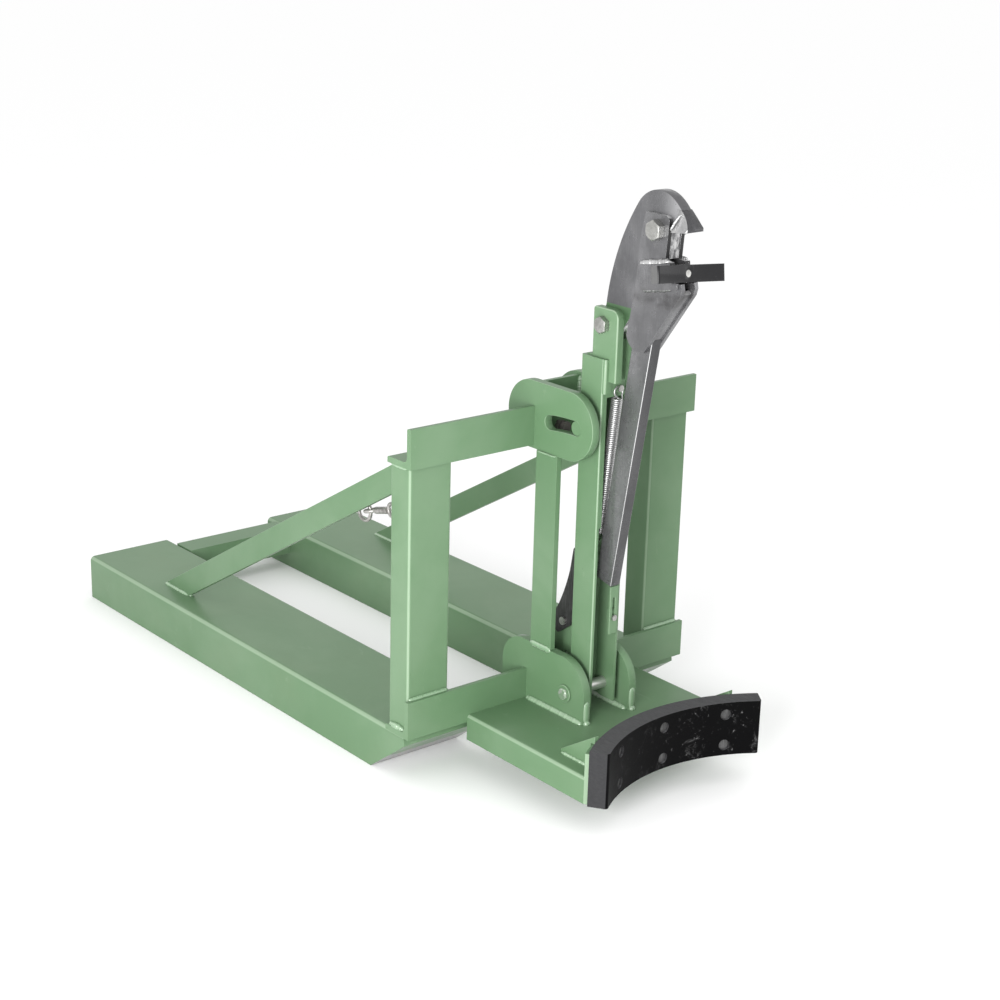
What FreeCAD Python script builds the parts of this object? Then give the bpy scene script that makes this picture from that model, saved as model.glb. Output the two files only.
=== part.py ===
import FreeCAD, Part
import math
import os

import Sketcher

# Drum lifter for fork arms. X is across the forks, +Y points back to the truck, Z is up.
# Lengths along Y are measured from the front face of the two cross bars and then moved by the datum,
# so that the whole part stands with the middle of its footprint at the origin.

os.makedirs("parts", exist_ok=True)
doc = FreeCAD.newDocument("drum_lifter")
Vector = FreeCAD.Vector

SIZES = [
    # fork sleeves and rear cross member
    ("sleeve_gap_half", 120.0), ("sleeve_width", 181.0), ("sleeve_height", 86.0), ("sleeve_wall", 5.0),
    ("sleeve_rear", 1066.0), ("sleeve_front", 10.0), ("nose_run", 97.0), ("nose_bend", 16.0),
    ("sleeve_bend", 9.0),
    ("cross_front", 980.0), ("cross_depth", 55.0), ("cross_height", 55.0), ("cross_wall", 5.0),
    # cross bars, uprights and braces
    ("bar_half", 306.0), ("bar_height", 65.0), ("bar_leg", 60.0), ("bar_thick", 10.0), ("bar_root", 8.0),
    ("bar_toe", 3.0),
    ("upper_bar_level", 540.0), ("upright_outer", 300.0), ("upright_width", 83.0),
    ("upright_wall", 5.0), ("upright_round", 5.0), ("brace_middle", 250.0),
    ("brace_thick", 10.0), ("brace_top_high", 545.0), ("brace_top_low", 496.0), ("brace_foot_rear", 851.0),
    ("brace_foot_front", 763.0),
    # upright guide plates, ears and the flats behind the mast
    ("plate_outer", 58.0), ("plate_thick", 15.0), ("guide_front", 138.0), ("guide_rear", 66.0),
    ("guide_round", 56.0),
    ("guide_level", 590.0), ("ear_front", 143.0), ("ear_rear", 63.0), ("ear_top", 201.0),
    ("ear_front_round", 58.0),
    ("ear_rear_round", 50.0), ("flat_front", 57.0), ("flat_rear", 7.0), ("flat_thick", 10.0),
    ("tie_low", 545.0), ("tie_high", 641.0), ("tie_plate_rear", 6.0), ("tie_plate_thick", 8.0),
    ("tie_bolt_level", 563.0),
    ("tie_bolt_front", 14.0), ("tie_bolt_radius", 5.0), ("tilt_travel", 7.8), ("slot_play", 0.5),
    # base block, belly pad and its bolts
    ("block_overhang", 0.205), ("block_bottom", 55.0), ("block_top", 99.0), ("block_sheet", 8.0),
    ("block_bend", 7.0),
    ("tongue_rear", 63.0), ("drum_centre", 565.0), ("drum_radius", 293.0), ("pad_thick", 32.0),
    ("backing_thick", 8.0),
    ("pad_top", 148.0), ("pad_half_angle", 34.8), ("pad_edge_round", 5.0), ("backing_half_angle", 33.5),
    ("backing_top", 140.0),
    ("pad_bolt_angle", 23.2),
    ("pad_bolt_low", 73.5), ("pad_bolt_high", 127.0), ("pad_bolt_radius", 5.0), ("pad_head_radius", 9.0),
    ("pad_head_thick", 4.0), ("pad_recess", 4.0), ("pad_nut_radius", 9.8), ("pad_nut_thick", 8.0),
    ("gusset_thick", 8.0), ("gusset_rear", 196.0), ("gusset_top", 154.0),
    # mast
    ("pivot_front", 98.0), ("pivot_level", 140.0), ("pin_radius", 10.0), ("pin_head_radius", 15.0),
    ("pin_head_high", 4.0), ("pin_nose", 4.0), ("bush_radius", 13.0), ("mast_half", 30.0),
    ("mast_wall", 6.0), ("mast_rear", 75.0),
    ("mast_front", 125.0), ("mast_foot", 114.0), ("mast_foot_round", 22.0), ("mast_top", 703.0),
    ("guide_pin_radius", 11.5), ("lip_width", 14.0), ("lip_thick", 6.0), ("lip_bottom", 648.0),
    ("lip_round", 5.0),
    # telescopic slider with its fork head
    ("slider_play", 0.4), ("slider_wall", 5.0), ("slider_foot", 425.0), ("slider_closed", 640.0),
    ("head_play", 0.4),
    ("head_top", 782.0), ("head_rear", 91.0), ("head_front", 147.0), ("head_slot_floor", 733.0),
    ("head_round_front", 14.0), ("head_round_rear", 5.0), ("neck_half", 15.3), ("neck_foot_front", 129.0),
    ("neck_step", 668.0), ("head_bolt_front", 116.0), ("head_bolt_level", 756.0), ("head_bolt_radius", 8.0),
    # beak
    ("beak_half", 10.0), ("fork_play", 0.3), ("crown_front", 210.5), ("crown_level", 922.0),
    ("crown_radius", 53.5),
    ("back_radius", 372.0), ("back_foot_front", 104.5), ("back_foot_level", 784.0), ("nose_radius", 78.0),
    ("nose_tip_front", 272.5), ("nose_tip_level", 925.0), ("mouth_roof", 918.5), ("mouth_edge", 237.0),
    ("mouth_floor", 876.0), ("neck_top_front", 184.0), ("neck_waist_front", 158.0),
    ("neck_waist_level", 772.0),
    ("heel_front", 141.0), ("heel_level", 747.0), ("toe_half", 19.0), ("toe_back", 246.0),
    ("toe_tip", 279.0),
    ("toe_top", 952.0), ("toe_edge", 921.5), ("toe_round", 6.0), ("toe_flare", 60.0),
    # jaw lever
    ("jaw_bolt_front", 217.0), ("jaw_bolt_level", 918.0), ("jaw_bolt_radius", 9.0), ("lever_plate", 7.0),
    ("lever_crest", 23.5), ("lever_top_rear", 191.0), ("lever_top_front", 241.0), ("lever_chin", 875.0),
    ("lever_chin_front", 236.5), ("lever_knee_front", 274.0), ("lever_knee_level", 836.0),
    ("lever_foot_front", 199.5), ("lever_foot_level", 727.0), ("lever_heel_front", 160.0),
    ("lever_heel_level", 749.0),
    ("lever_waist_front", 178.0), ("lever_waist_level", 860.0), ("lever_top_round", 9.0),
    ("lever_low_round", 28.0),
    ("lever_back_sweep", 784.0), ("lever_waist_sweep", 293.0), ("web_inset", 3.0), ("web_thick", 8.0),
    ("bar_foot_level", 332.0), ("bar_head_level", 790.0),
    ("bar_foot_front", 143.5), ("bar_foot_rear", 108.4), ("bar_head_front", 217.5),
    ("bar_head_rear", 175.0),
    # jaw, its cheeks and its block, set out square in a frame that is tilted back
    ("jaw_tilt", 10.5), ("jaw_front", 252.5), ("jaw_level", 856.5), ("jaw_half", 69.0),
    ("jaw_height", 26.0),
    ("jaw_thick", 17.0), ("jaw_round", 3.0), ("jaw_roll", 4.5), ("jaw_relief", 2.0),
    ("jaw_screw_radius", 4.0),
    ("jaw_screw_head", 5.5), ("jaw_block_depth", 16.0), ("cheek_thick", 4.0), ("cheek_depth", 68.0),
    ("cheek_top", 17.5), ("cheek_low", 21.5),
    # spring, its anchors, clamp lever, stop plate
    ("coil_radius", 9.0), ("coil_low_front", 102.5), ("coil_high_front", 128.5), ("coil_wire", 1.6),
    ("loop_radius", 10.4), ("anchor_level", 393.0), ("anchor_radius", 3.5), ("spring_screw_level", 655.0),
    ("spring_screw_radius", 2.6), ("lug_thick", 6.0), ("lug_rear", 28.0), ("lug_low", 166.0),
    ("lug_high", 250.0),
    ("clamp_front", 36.0), ("clamp_level", 237.0), ("clamp_screw_radius", 5.0),
    ("clamp_lever_thick", 8.0), ("clamp_lever_sweep", 330.0),
    ("lock_plate_thick", 6.0), ("stop_plate_left", 4.5), ("stop_plate_right", 22.0),
    ("stop_plate_low", 238.5), ("stop_plate_high", 320.5),
    ("stop_plate_thick", 4.0),
    # safety hook
    ("hook_side", 239.5), ("ring_rear", 212.0), ("ring_level", 406.0), ("ring_radius", 17.0),
    ("ring_wire", 3.2),
    ("hook_rise", 15.2), ("staple_radius", 12.0), ("staple_wire", 3.0),
    # general clearances
    ("seat_gap", 0.3), ("turn_play", 0.05),
]
sheet = doc.addObject("Spreadsheet::Sheet", "sizes")
for number, (name, value) in enumerate(SIZES, 1):
    sheet.set(f"A{number}", name)
    sheet.set(f"B{number}", str(value))
    sheet.setAlias(f"B{number}", name)
doc.recompute()


class Length:
    """A size from the sheet, or a sum or product of sizes, with its value and its formula."""

    def __init__(self, value, text):
        self.value = float(value)
        self.text = text

    def __add__(self, other):
        other = as_length(other)
        return Length(self.value + other.value, f"({self.text} + {other.text})")

    def __sub__(self, other):
        other = as_length(other)
        return Length(self.value - other.value, f"({self.text} - {other.text})")

    def __mul__(self, other):
        other = as_length(other)
        return Length(self.value * other.value, f"({self.text} * {other.text})")

    def __truediv__(self, other):
        other = as_length(other)
        return Length(self.value / other.value, f"({self.text} / {other.text})")

    def __radd__(self, other):
        return as_length(other) + self

    def __rsub__(self, other):
        return as_length(other) - self

    def __rmul__(self, other):
        return as_length(other) * self

    def __neg__(self):
        return Length(-self.value, f"(0 - {self.text})")


def as_length(item):
    return item if isinstance(item, Length) else Length(item, f"{float(item):.6f}")


def sine(angle):
    return Length(math.sin(math.radians(angle.value)), f"sin({angle.text} * 1 deg)")


def cosine(angle):
    return Length(math.cos(math.radians(angle.value)), f"cos({angle.text} * 1 deg)")


def root(item):
    return Length(math.sqrt(item.value), f"sqrt({item.text})")


class Sizes:
    pass


S = Sizes()
for name, _ in SIZES:
    setattr(S, name, Length(float(sheet.get(name)), "sizes." + name))

round_share = S.pad_edge_round / (S.drum_radius + S.pad_edge_round)
edge_cosine = (cosine(S.pad_half_angle) * root(1 - round_share * round_share)
               + sine(S.pad_half_angle) * round_share)
front_end = S.drum_centre + S.pad_edge_round - (S.drum_radius + S.pad_edge_round) * edge_cosine
datum = (S.sleeve_rear - front_end) / 2
nodes = []


def bind(item, prop, length):
    item.setExpression(prop, as_length(length).text)


def move(item, x=0, y=0, z=0):
    bind(item, "Placement.Base.x", x)
    bind(item, "Placement.Base.y", y)
    bind(item, "Placement.Base.z", z)


def keep(item, label):
    item.Label = label
    nodes.append(item)
    return item


def box(name, left, right, front, rear, low, high):
    item = doc.addObject("Part::Box", name)
    bind(item, "Length", as_length(right) - left)
    bind(item, "Width", as_length(rear) - front)
    bind(item, "Height", as_length(high) - low)
    move(item, left, as_length(front) - datum, low)
    return item


def rod(name, axis, radius, start, end, first, second):
    """A cylinder from start to end on one axis. first and second are its place on the other two, in XYZ order."""
    item = doc.addObject("Part::Cylinder", name)
    bind(item, "Radius", radius)
    bind(item, "Height", as_length(end) - start)
    if axis == "x":
        item.Placement.Rotation = FreeCAD.Rotation(Vector(0, 1, 0), 90)
        move(item, start, as_length(first) - datum, second)
    elif axis == "y":
        item.Placement.Rotation = FreeCAD.Rotation(Vector(1, 0, 0), -90)
        move(item, first, as_length(start) - datum, second)
    else:
        move(item, first, as_length(second) - datum, start)
    return item


def hexagon(name, axis, radius, start, end, first, second):
    item = doc.addObject("Part::Prism", name)
    item.Polygon = 6
    bind(item, "Circumradius", radius)
    bind(item, "Height", as_length(end) - start)
    if axis == "x":
        item.Placement.Rotation = FreeCAD.Rotation(Vector(0, 1, 0), 90)
        move(item, start, as_length(first) - datum, second)
    else:
        item.Placement.Rotation = FreeCAD.Rotation(Vector(1, 0, 0), -90)
        move(item, first, as_length(start) - datum, second)
    return item


def join(name, items):
    item = doc.addObject("Part::MultiFuse", name)
    item.Shapes = items
    item.Refine = True
    return item


def cut(name, base, tools):
    item = doc.addObject("Part::Cut", name)
    item.Base = base
    item.Tool = tools[0] if len(tools) == 1 else join(name + "_tools", tools)
    item.Refine = True
    return item


def group(name, items):
    item = doc.addObject("Part::Compound", name)
    item.Links = items
    return item


def plane(body, role):
    return next(item for item in body.Origin.OriginFeatures if item.Role == role)


def tie(sketch, place, axis, length, label):
    """Holds one point of a sketch at a size across or up from the sketch's origin."""
    length = as_length(length)
    if abs(length.value) < 1e-9:
        sketch.addConstraint(Sketcher.Constraint("PointOnObject", place[0], place[1], -2 if axis == "X" else -1))
        return
    number = sketch.addConstraint(Sketcher.Constraint("Distance" + axis, -1, 1, place[0], place[1], length.value))
    sketch.renameConstraint(number, label)
    sketch.setExpression("Constraints." + label, length.text)


def loop(sketch, path, tag):
    """Draws a closed outline. A point is (across, up) and may add the radius and side of an arc to the next point."""
    ends = []
    count = len(path)
    for index in range(count):
        here = path[index]
        there = path[(index + 1) % count]
        a = Vector(as_length(here[0]).value, as_length(here[1]).value, 0)
        b = Vector(as_length(there[0]).value, as_length(there[1]).value, 0)
        if len(here) == 2:
            number = sketch.addGeometry(Part.LineSegment(a, b), False)
            ends.append((number, 1, 2))
            continue
        radius = as_length(here[2])
        side = here[3]
        chord = b - a
        half = chord.Length / 2
        rise = math.sqrt(max(radius.value ** 2 - half ** 2, 0.0))
        normal = Vector(-chord.y, chord.x, 0).normalize() * side
        middle = (a + b) * 0.5 + normal * rise
        start = math.atan2(a.y - middle.y, a.x - middle.x)
        stop = math.atan2(b.y - middle.y, b.x - middle.x)
        if side < 0:
            start, stop = stop, start
        circle = Part.Circle(middle, Vector(0, 0, 1), radius.value)
        number = sketch.addGeometry(Part.ArcOfCircle(circle, start, stop), False)
        ends.append((number, 1, 2) if side > 0 else (number, 2, 1))
    for index in range(count):
        here = ends[index]
        there = ends[(index + 1) % count]
        sketch.addConstraint(Sketcher.Constraint("Coincident", here[0], here[2], there[0], there[1]))
    for index in range(count):
        place = (ends[index][0], ends[index][1])
        if isinstance(path[index][0], Length):
            tie(sketch, place, "X", path[index][0], f"{tag}_across_{index}")
        if isinstance(path[index][1], Length):
            tie(sketch, place, "Y", path[index][1], f"{tag}_up_{index}")
        if len(path[index]) > 2 and isinstance(path[index][2], Length):
            there = path[(index + 1) % count]
            across = as_length(there[0]) - path[index][0]
            up = as_length(there[1]) - path[index][1]
            if math.hypot(across.value, up.value) > path[index][2].value * 1.999:
                number = 1 if abs(across.value) > abs(up.value) else 0
                middle = (as_length(there[number]) + path[index][number]) / 2
                tie(sketch, (ends[index][0], 3), "XY"[number], middle, f"{tag}_middle_{index}")
                continue
            number = sketch.addConstraint(Sketcher.Constraint("Radius", ends[index][0], path[index][2].value))
            sketch.renameConstraint(number, f"{tag}_radius_{index}")
            sketch.setExpression(f"Constraints.{tag}_radius_{index}", path[index][2].text)


def ring(sketch, across, up, radius, tag):
    centre = Vector(as_length(across).value, as_length(up).value, 0)
    circle = Part.Circle(centre, Vector(0, 0, 1), as_length(radius).value)
    number = sketch.addGeometry(circle, False)
    tie(sketch, (number, 3), "X", across, tag + "_across")
    tie(sketch, (number, 3), "Y", up, tag + "_up")
    size = sketch.addConstraint(Sketcher.Constraint("Radius", number, as_length(radius).value))
    sketch.renameConstraint(size, tag + "_radius")
    sketch.setExpression("Constraints." + tag + "_radius", as_length(radius).text)


def drawing(body, role, outlines, holes=(), lift=None, name="outline"):
    sketch = body.newObject("Sketcher::SketchObject", body.Name + "_" + name)
    sketch.AttachmentSupport = [(plane(body, role), "")]
    sketch.MapMode = "FlatFace"
    if lift is not None:
        bind(sketch, "AttachmentOffset.Base.z", lift)
    for number, path in enumerate(outlines):
        loop(sketch, path, f"line{number}")
    for number, hole in enumerate(holes):
        ring(sketch, hole[0], hole[1], hole[2], f"hole{number}")
    return sketch


def solid(name, role, outlines, depth, x=0, z=0, holes=()):
    """A body padded from one drawing: role YZ_Plane grows to +X from x, role XY_Plane grows up from z."""
    body = doc.addObject("PartDesign::Body", name)
    sketch = drawing(body, role, outlines, holes)
    pad = body.newObject("PartDesign::Pad", name + "_pad")
    pad.Profile = sketch
    bind(pad, "Length", depth)
    move(body, x, -datum, z)
    doc.recompute()
    return body


def hollow(body, role, outline, depth, lift, name="hollow"):
    """Takes a pocket out of a body, from lift to lift + depth along the drawing's normal."""
    before = body.Shape.Volume
    sketch = drawing(body, role, [outline], lift=lift, name=name)
    pocket = body.newObject("PartDesign::Pocket", body.Name + "_" + name + "_cut")
    pocket.Profile = sketch
    pocket.Reversed = True
    bind(pocket, "Length", depth)
    doc.recompute()
    if not body.Shape.Volume < before - 1:
        raise RuntimeError(f"{body.Name} {name} takes nothing away")


def soften(body, radius, wanted, name="round"):
    """Rounds the edges of a body that the test picks."""
    tip = body.Tip
    picked = [f"Edge{number}" for number, edge in enumerate(tip.Shape.Edges, 1) if wanted(edge)]
    if not picked:
        raise RuntimeError(f"{body.Name} has no edge to round")
    item = body.newObject("PartDesign::Fillet", body.Name + "_" + name)
    item.Base = (tip, picked)
    bind(item, "Radius", radius)
    doc.recompute()


def along(edge, axis, **places):
    """True for a straight edge along one axis that lies at the given places on the others."""
    if not isinstance(edge.Curve, Part.Line):
        return False
    direction = edge.Curve.Direction
    if abs(abs({"x": direction.x, "y": direction.y, "z": direction.z}[axis]) - 1) > 1e-6:
        return False
    middle = edge.CenterOfMass
    spot = {"x": middle.x, "y": middle.y, "z": middle.z}
    return all(abs(spot[key] - as_length(value).value) < 0.05 for key, value in places.items())


def rounded(left, right, front, rear, radius):
    """The outline of a rectangle with round corners, anticlockwise."""
    return [
        (left + radius, as_length(front)), (right - radius, as_length(front), radius, 1),
        (as_length(right), front + radius), (as_length(right), rear - radius, radius, 1),
        (right - radius, as_length(rear)), (left + radius, as_length(rear), radius, 1),
        (as_length(left), rear - radius), (as_length(left), front + radius, radius, 1),
    ]


def rectangle(left, right, low, high):
    left, right, low, high = as_length(left), as_length(right), as_length(low), as_length(high)
    return [(left, low), (right, low), (right, high), (left, high)]


ZERO = Length(0, "0")

# Fork sleeves: folded channels, open below and at the rear, with the nose bent down and back to the floor.
nose_foot = S.sleeve_front + S.nose_run
slant = root(S.nose_run * S.nose_run + S.sleeve_height * S.sleeve_height)
for side, left in (("left", -(S.sleeve_gap_half + S.sleeve_width)), ("right", S.sleeve_gap_half)):
    outline = [
        (nose_foot, ZERO), (S.sleeve_rear, ZERO), (S.sleeve_rear, S.sleeve_height),
        (S.sleeve_front + S.nose_bend, S.sleeve_height, S.nose_bend, 1),
        (S.sleeve_front + S.nose_bend * S.nose_run / slant * 0.45, S.sleeve_height - S.nose_bend * 1.05),
    ]
    sleeve = solid(side + "_fork_sleeve", "YZ_Plane", [outline], S.sleeve_width, x=left)
    soften(sleeve, S.sleeve_bend, lambda edge: along(edge, "y", z=S.sleeve_height))
    inner = [
        (nose_foot + S.sleeve_wall * 1.3, as_length(-1)), (S.sleeve_rear + 1, as_length(-1)),
        (S.sleeve_rear + 1, S.sleeve_height - S.sleeve_wall),
        (S.sleeve_front + S.nose_bend + S.sleeve_wall * 0.6, S.sleeve_height - S.sleeve_wall),
        (S.sleeve_front + S.nose_bend * 0.5 + S.sleeve_wall * 1.35, S.sleeve_height - S.nose_bend * 1.05),
    ]
    hollow(sleeve, "YZ_Plane", inner, S.sleeve_width - S.sleeve_wall * 2, S.sleeve_wall)
    keep(sleeve, side + "_fork_sleeve")

cross_rear = S.cross_front + S.cross_depth
cross_low = S.sleeve_height - S.cross_height
member = cut("rear_cross_member", box("cross_outside", -S.sleeve_gap_half, S.sleeve_gap_half, S.cross_front, cross_rear,
                                      cross_low, S.sleeve_height),
             [box("cross_inside", -S.sleeve_gap_half - 1, S.sleeve_gap_half + 1, S.cross_front + S.cross_wall,
                  cross_rear - S.cross_wall, cross_low + S.cross_wall, S.sleeve_height - S.cross_wall)])
keep(member, "rear_cross_member")

# Cross bars: equal angles in two halves, welded to the outer faces of the middle plates.
bar_outline = [
    (ZERO, ZERO), (S.bar_leg, ZERO), (S.bar_leg, S.bar_thick - S.bar_toe, S.bar_toe, 1),
    (S.bar_leg - S.bar_toe, S.bar_thick), (S.bar_thick + S.bar_root, S.bar_thick, S.bar_root, -1),
    (S.bar_thick, S.bar_thick + S.bar_root), (S.bar_thick, S.bar_height - S.bar_toe, S.bar_toe, 1),
    (S.bar_thick - S.bar_toe, S.bar_height), (ZERO, S.bar_height),
]
bar_run = S.bar_half - S.plate_outer
for side, left in (("left", -S.bar_half), ("right", S.plate_outer)):
    for level, z in (("upper", S.upper_bar_level), ("lower", S.sleeve_height)):
        keep(solid(f"{level}_bar_{side}", "YZ_Plane", [bar_outline], bar_run, x=left, z=z), f"{level}_bar_{side}")

# Uprights stand on the lower bar's leg and carry the upper bar's leg.
upright_foot = S.sleeve_height + S.bar_thick
upright_rear = S.bar_leg
root_room = S.bar_root + S.seat_gap
for side, left in (("left", -S.upright_outer), ("right", S.upright_outer - S.upright_width)):
    right = left + S.upright_width
    outside = rounded(left, right, S.bar_thick, upright_rear, S.upright_round)
    inside = rectangle(left + S.upright_wall, right - S.upright_wall, S.bar_thick + S.upright_wall,
                       upright_rear - S.upright_wall)
    tube = solid(side + "_upright_tube", "XY_Plane", [outside, inside], S.upper_bar_level - upright_foot, z=upright_foot)
    keep(cut(side + "_upright", tube, [
        box(side + "_upright_notch", left - 1, right + 1, S.bar_thick - 1, S.bar_thick + root_room, upright_foot - 1,
            upright_foot + root_room)]), side + "_upright")

# Braces run from the rear of the sleeves up to the rear face of the uprights.
brace_outline = [
    (upright_rear, S.brace_top_low), (S.brace_foot_front, S.sleeve_height), (S.brace_foot_rear, S.sleeve_height),
    (upright_rear, S.brace_top_high),
]
for side, middle in (("left", -S.brace_middle), ("right", S.brace_middle)):
    keep(solid(side + "_brace", "YZ_Plane", [brace_outline], S.brace_thick, x=middle - S.brace_thick / 2),
         side + "_brace")

# Guide plates: round ended plates with a curved slot about the mast's hinge.
pivot_y = -S.pivot_front
slot_radius = S.guide_level - S.pivot_level
slot_half = S.guide_pin_radius + S.slot_play
turn = S.tilt_travel
outer_arc = slot_radius + slot_half
inner_arc = slot_radius - slot_half
slot_outline = [
    (pivot_y, S.pivot_level + inner_arc, inner_arc, -1),
    (pivot_y + inner_arc * sine(turn), S.pivot_level + inner_arc * cosine(turn), slot_half, 1),
    (pivot_y + outer_arc * sine(turn), S.pivot_level + outer_arc * cosine(turn), outer_arc, 1),
    (pivot_y, S.pivot_level + outer_arc, slot_half, 1),
]
guide_outline = [
    (S.guide_round - S.guide_front, S.guide_level - S.guide_round),
    (S.guide_rear - S.guide_round, S.guide_level - S.guide_round, S.guide_round, 1),
    (S.guide_rear - S.guide_round, S.guide_level + S.guide_round),
    (S.guide_round - S.guide_front, S.guide_level + S.guide_round, S.guide_round, 1),
]
ear_outline = [
    (-S.ear_front, S.block_top), (S.ear_rear, S.block_top), (S.ear_rear, S.ear_top - S.ear_rear_round, S.ear_rear_round, 1),
    (S.ear_rear - S.ear_rear_round, S.ear_top), (S.ear_front_round - S.ear_front, S.ear_top, S.ear_front_round, 1),
    (-S.ear_front, S.ear_top - S.ear_front_round),
]
pin_hole = (pivot_y, S.pivot_level, S.pin_radius + S.turn_play)
flats = []
for side, left in (("left", -S.plate_outer), ("right", S.plate_outer - S.plate_thick)):
    keep(solid(side + "_guide_plate", "YZ_Plane", [guide_outline, slot_outline], S.plate_thick, x=left),
         side + "_guide_plate")
    keep(solid(side + "_ear_plate", "YZ_Plane", [ear_outline], S.plate_thick, x=left, holes=[pin_hole]),
         side + "_ear_plate")
    outer = left if side == "left" else left + S.plate_thick - S.flat_thick
    flats.append(box(side + "_rear_flat", outer, outer + S.flat_thick, -S.flat_front, -S.flat_rear, S.ear_top,
                     S.guide_level - S.guide_round))
keep(group("rear_flats", flats), "rear_flats")

# A plate ties the guide plates behind the mast. Its bolt is the stop that the mast leans back against.
ear_inner = S.plate_outer - S.plate_thick
tie_rear = S.tie_plate_rear + S.tie_plate_thick
tie_bolt = join("tie_bolt", [
    hexagon("tie_bolt_head", "y", as_length(9.8), -S.tie_bolt_front, -S.tie_bolt_front + 7, ZERO, S.tie_bolt_level),
    rod("tie_bolt_stem", "y", S.tie_bolt_radius, -S.tie_bolt_front + 6, tie_rear + 9, ZERO, S.tie_bolt_level),
    hexagon("tie_bolt_nut", "y", as_length(9.8), S.tie_plate_rear - 8, S.tie_plate_rear, ZERO, S.tie_bolt_level)])
tie_plate = cut("tie_plate", box("tie_plate_blank", -ear_inner, ear_inner, S.tie_plate_rear, tie_rear, S.tie_low, S.tie_high),
                [rod("tie_plate_bore", "y", S.tie_bolt_radius + S.turn_play, S.tie_plate_rear - 1, tie_rear + 1, ZERO,
                     S.tie_bolt_level)])
keep(group("guide_tie", [tie_plate, tie_bolt]), "guide_tie")

# Base block: a downward channel whose front follows the drum, with a tongue back under the ears.
backing_radius = S.drum_radius + S.pad_thick + S.backing_thick
block_half = backing_radius * sine(S.backing_half_angle) + S.block_overhang
front_y = root(backing_radius * backing_radius - block_half * block_half) - S.drum_centre
block_outline = [
    (block_half, front_y), (block_half, ZERO), (-block_half, ZERO), (-block_half, front_y, backing_radius, -1),
]
block = solid("base_block", "XY_Plane", [block_outline], S.block_top - S.block_bottom, z=S.block_bottom)
soften(block, S.block_bend, lambda edge: along(edge, "y", z=S.block_top - S.block_bottom))
room_half = block_half - S.block_sheet
hollow(block, "XY_Plane", rectangle(-room_half, room_half, front_y - 10, -S.block_sheet),
       S.block_top - S.block_bottom - S.block_sheet, ZERO)
tongue = drawing(block, "XY_Plane", [rectangle(-S.plate_outer, S.plate_outer, -S.block_sheet, S.tongue_rear)],
                 lift=S.block_top - S.block_bottom - S.block_sheet, name="tongue")
tongue_pad = block.newObject("PartDesign::Pad", "tongue_pad")
tongue_pad.Profile = tongue
bind(tongue_pad, "Length", S.block_sheet)
doc.recompute()


def sector(name, inner, outer, half_angle, low, high):
    """A plate bent about the drum's axis, from the inner to the outer radius."""
    path = [
        (-outer * sine(half_angle), outer * cosine(half_angle) - S.drum_centre),
        (-inner * sine(half_angle), inner * cosine(half_angle) - S.drum_centre, inner, -1),
        (inner * sine(half_angle), inner * cosine(half_angle) - S.drum_centre),
        (outer * sine(half_angle), outer * cosine(half_angle) - S.drum_centre, outer, 1),
    ]
    return solid(name, "XY_Plane", [path], as_length(high) - low, z=low)


def spokes(name, radius, start, end, six=False):
    """Six rods or hexagons that point at the drum's axis, in three columns and two rows."""
    items = []
    for column, angle in enumerate((-S.pad_bolt_angle, ZERO, S.pad_bolt_angle)):
        for row, level in enumerate((S.pad_bolt_low, S.pad_bolt_high)):
            item = doc.addObject("Part::Prism" if six else "Part::Cylinder", f"{name}_{column}_{row}")
            if six:
                item.Polygon = 6
                bind(item, "Circumradius", radius)
            else:
                bind(item, "Radius", radius)
            bind(item, "Height", as_length(end) - start)
            turned = FreeCAD.Rotation(Vector(0, 0, 1), -angle.value)
            item.Placement.Rotation = turned.multiply(FreeCAD.Rotation(Vector(1, 0, 0), -90))
            move(item, start * sine(angle), start * cosine(angle) - S.drum_centre - datum, level)
            items.append(item)
    return items


keep(block, "base_block")
pad_back = S.drum_radius + S.pad_thick
bolt_hole = S.pad_bolt_radius + S.turn_play
backing = sector("backing_sheet", pad_back, backing_radius, S.backing_half_angle, S.block_bottom, S.backing_top)
backing = cut("backing_plate", backing, spokes("backing_hole", bolt_hole, pad_back - 5, backing_radius + 5))
keep(backing, "backing_plate")
pad = sector("pad_blank", S.drum_radius, pad_back, S.pad_half_angle, S.block_bottom + S.seat_gap, S.pad_top)
soften(pad, S.pad_edge_round, lambda edge: along(edge, "z") and abs(edge.CenterOfMass.x) > 150
       and math.hypot(edge.CenterOfMass.x, edge.CenterOfMass.y + S.drum_centre.value) < pad_back.value - 5)
head_seat = S.drum_radius + S.pad_recess + S.pad_head_thick
pad = cut("belly_pad", pad, spokes("pad_hole", bolt_hole, S.drum_radius - 5, pad_back + 5)
          + spokes("pad_recess", S.pad_head_radius + S.seat_gap, S.drum_radius - 5, head_seat))
keep(pad, "belly_pad")
nut_face = backing_radius + S.seat_gap
bolt_end = nut_face + S.pad_nut_thick + 4
bolts = []
for head, stem in zip(spokes("pad_head", S.pad_head_radius, S.drum_radius + S.pad_recess, head_seat),
                      spokes("pad_stem", S.pad_bolt_radius, head_seat - 1, bolt_end)):
    bolts.append(join(head.Name + "_bolt", [head, stem]))
keep(group("pad_bolts", bolts), "pad_bolts")
nuts = []
nut_blanks = spokes("pad_nut", S.pad_nut_radius, nut_face, nut_face + S.pad_nut_thick, six=True)
for blank, bore in zip(nut_blanks, spokes("nut_bore", S.pad_bolt_radius, nut_face - 1, bolt_end + 1)):
    nuts.append(cut(blank.Name + "_turned", blank, [bore]))
keep(group("pad_nuts", nuts), "pad_nuts")

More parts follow.
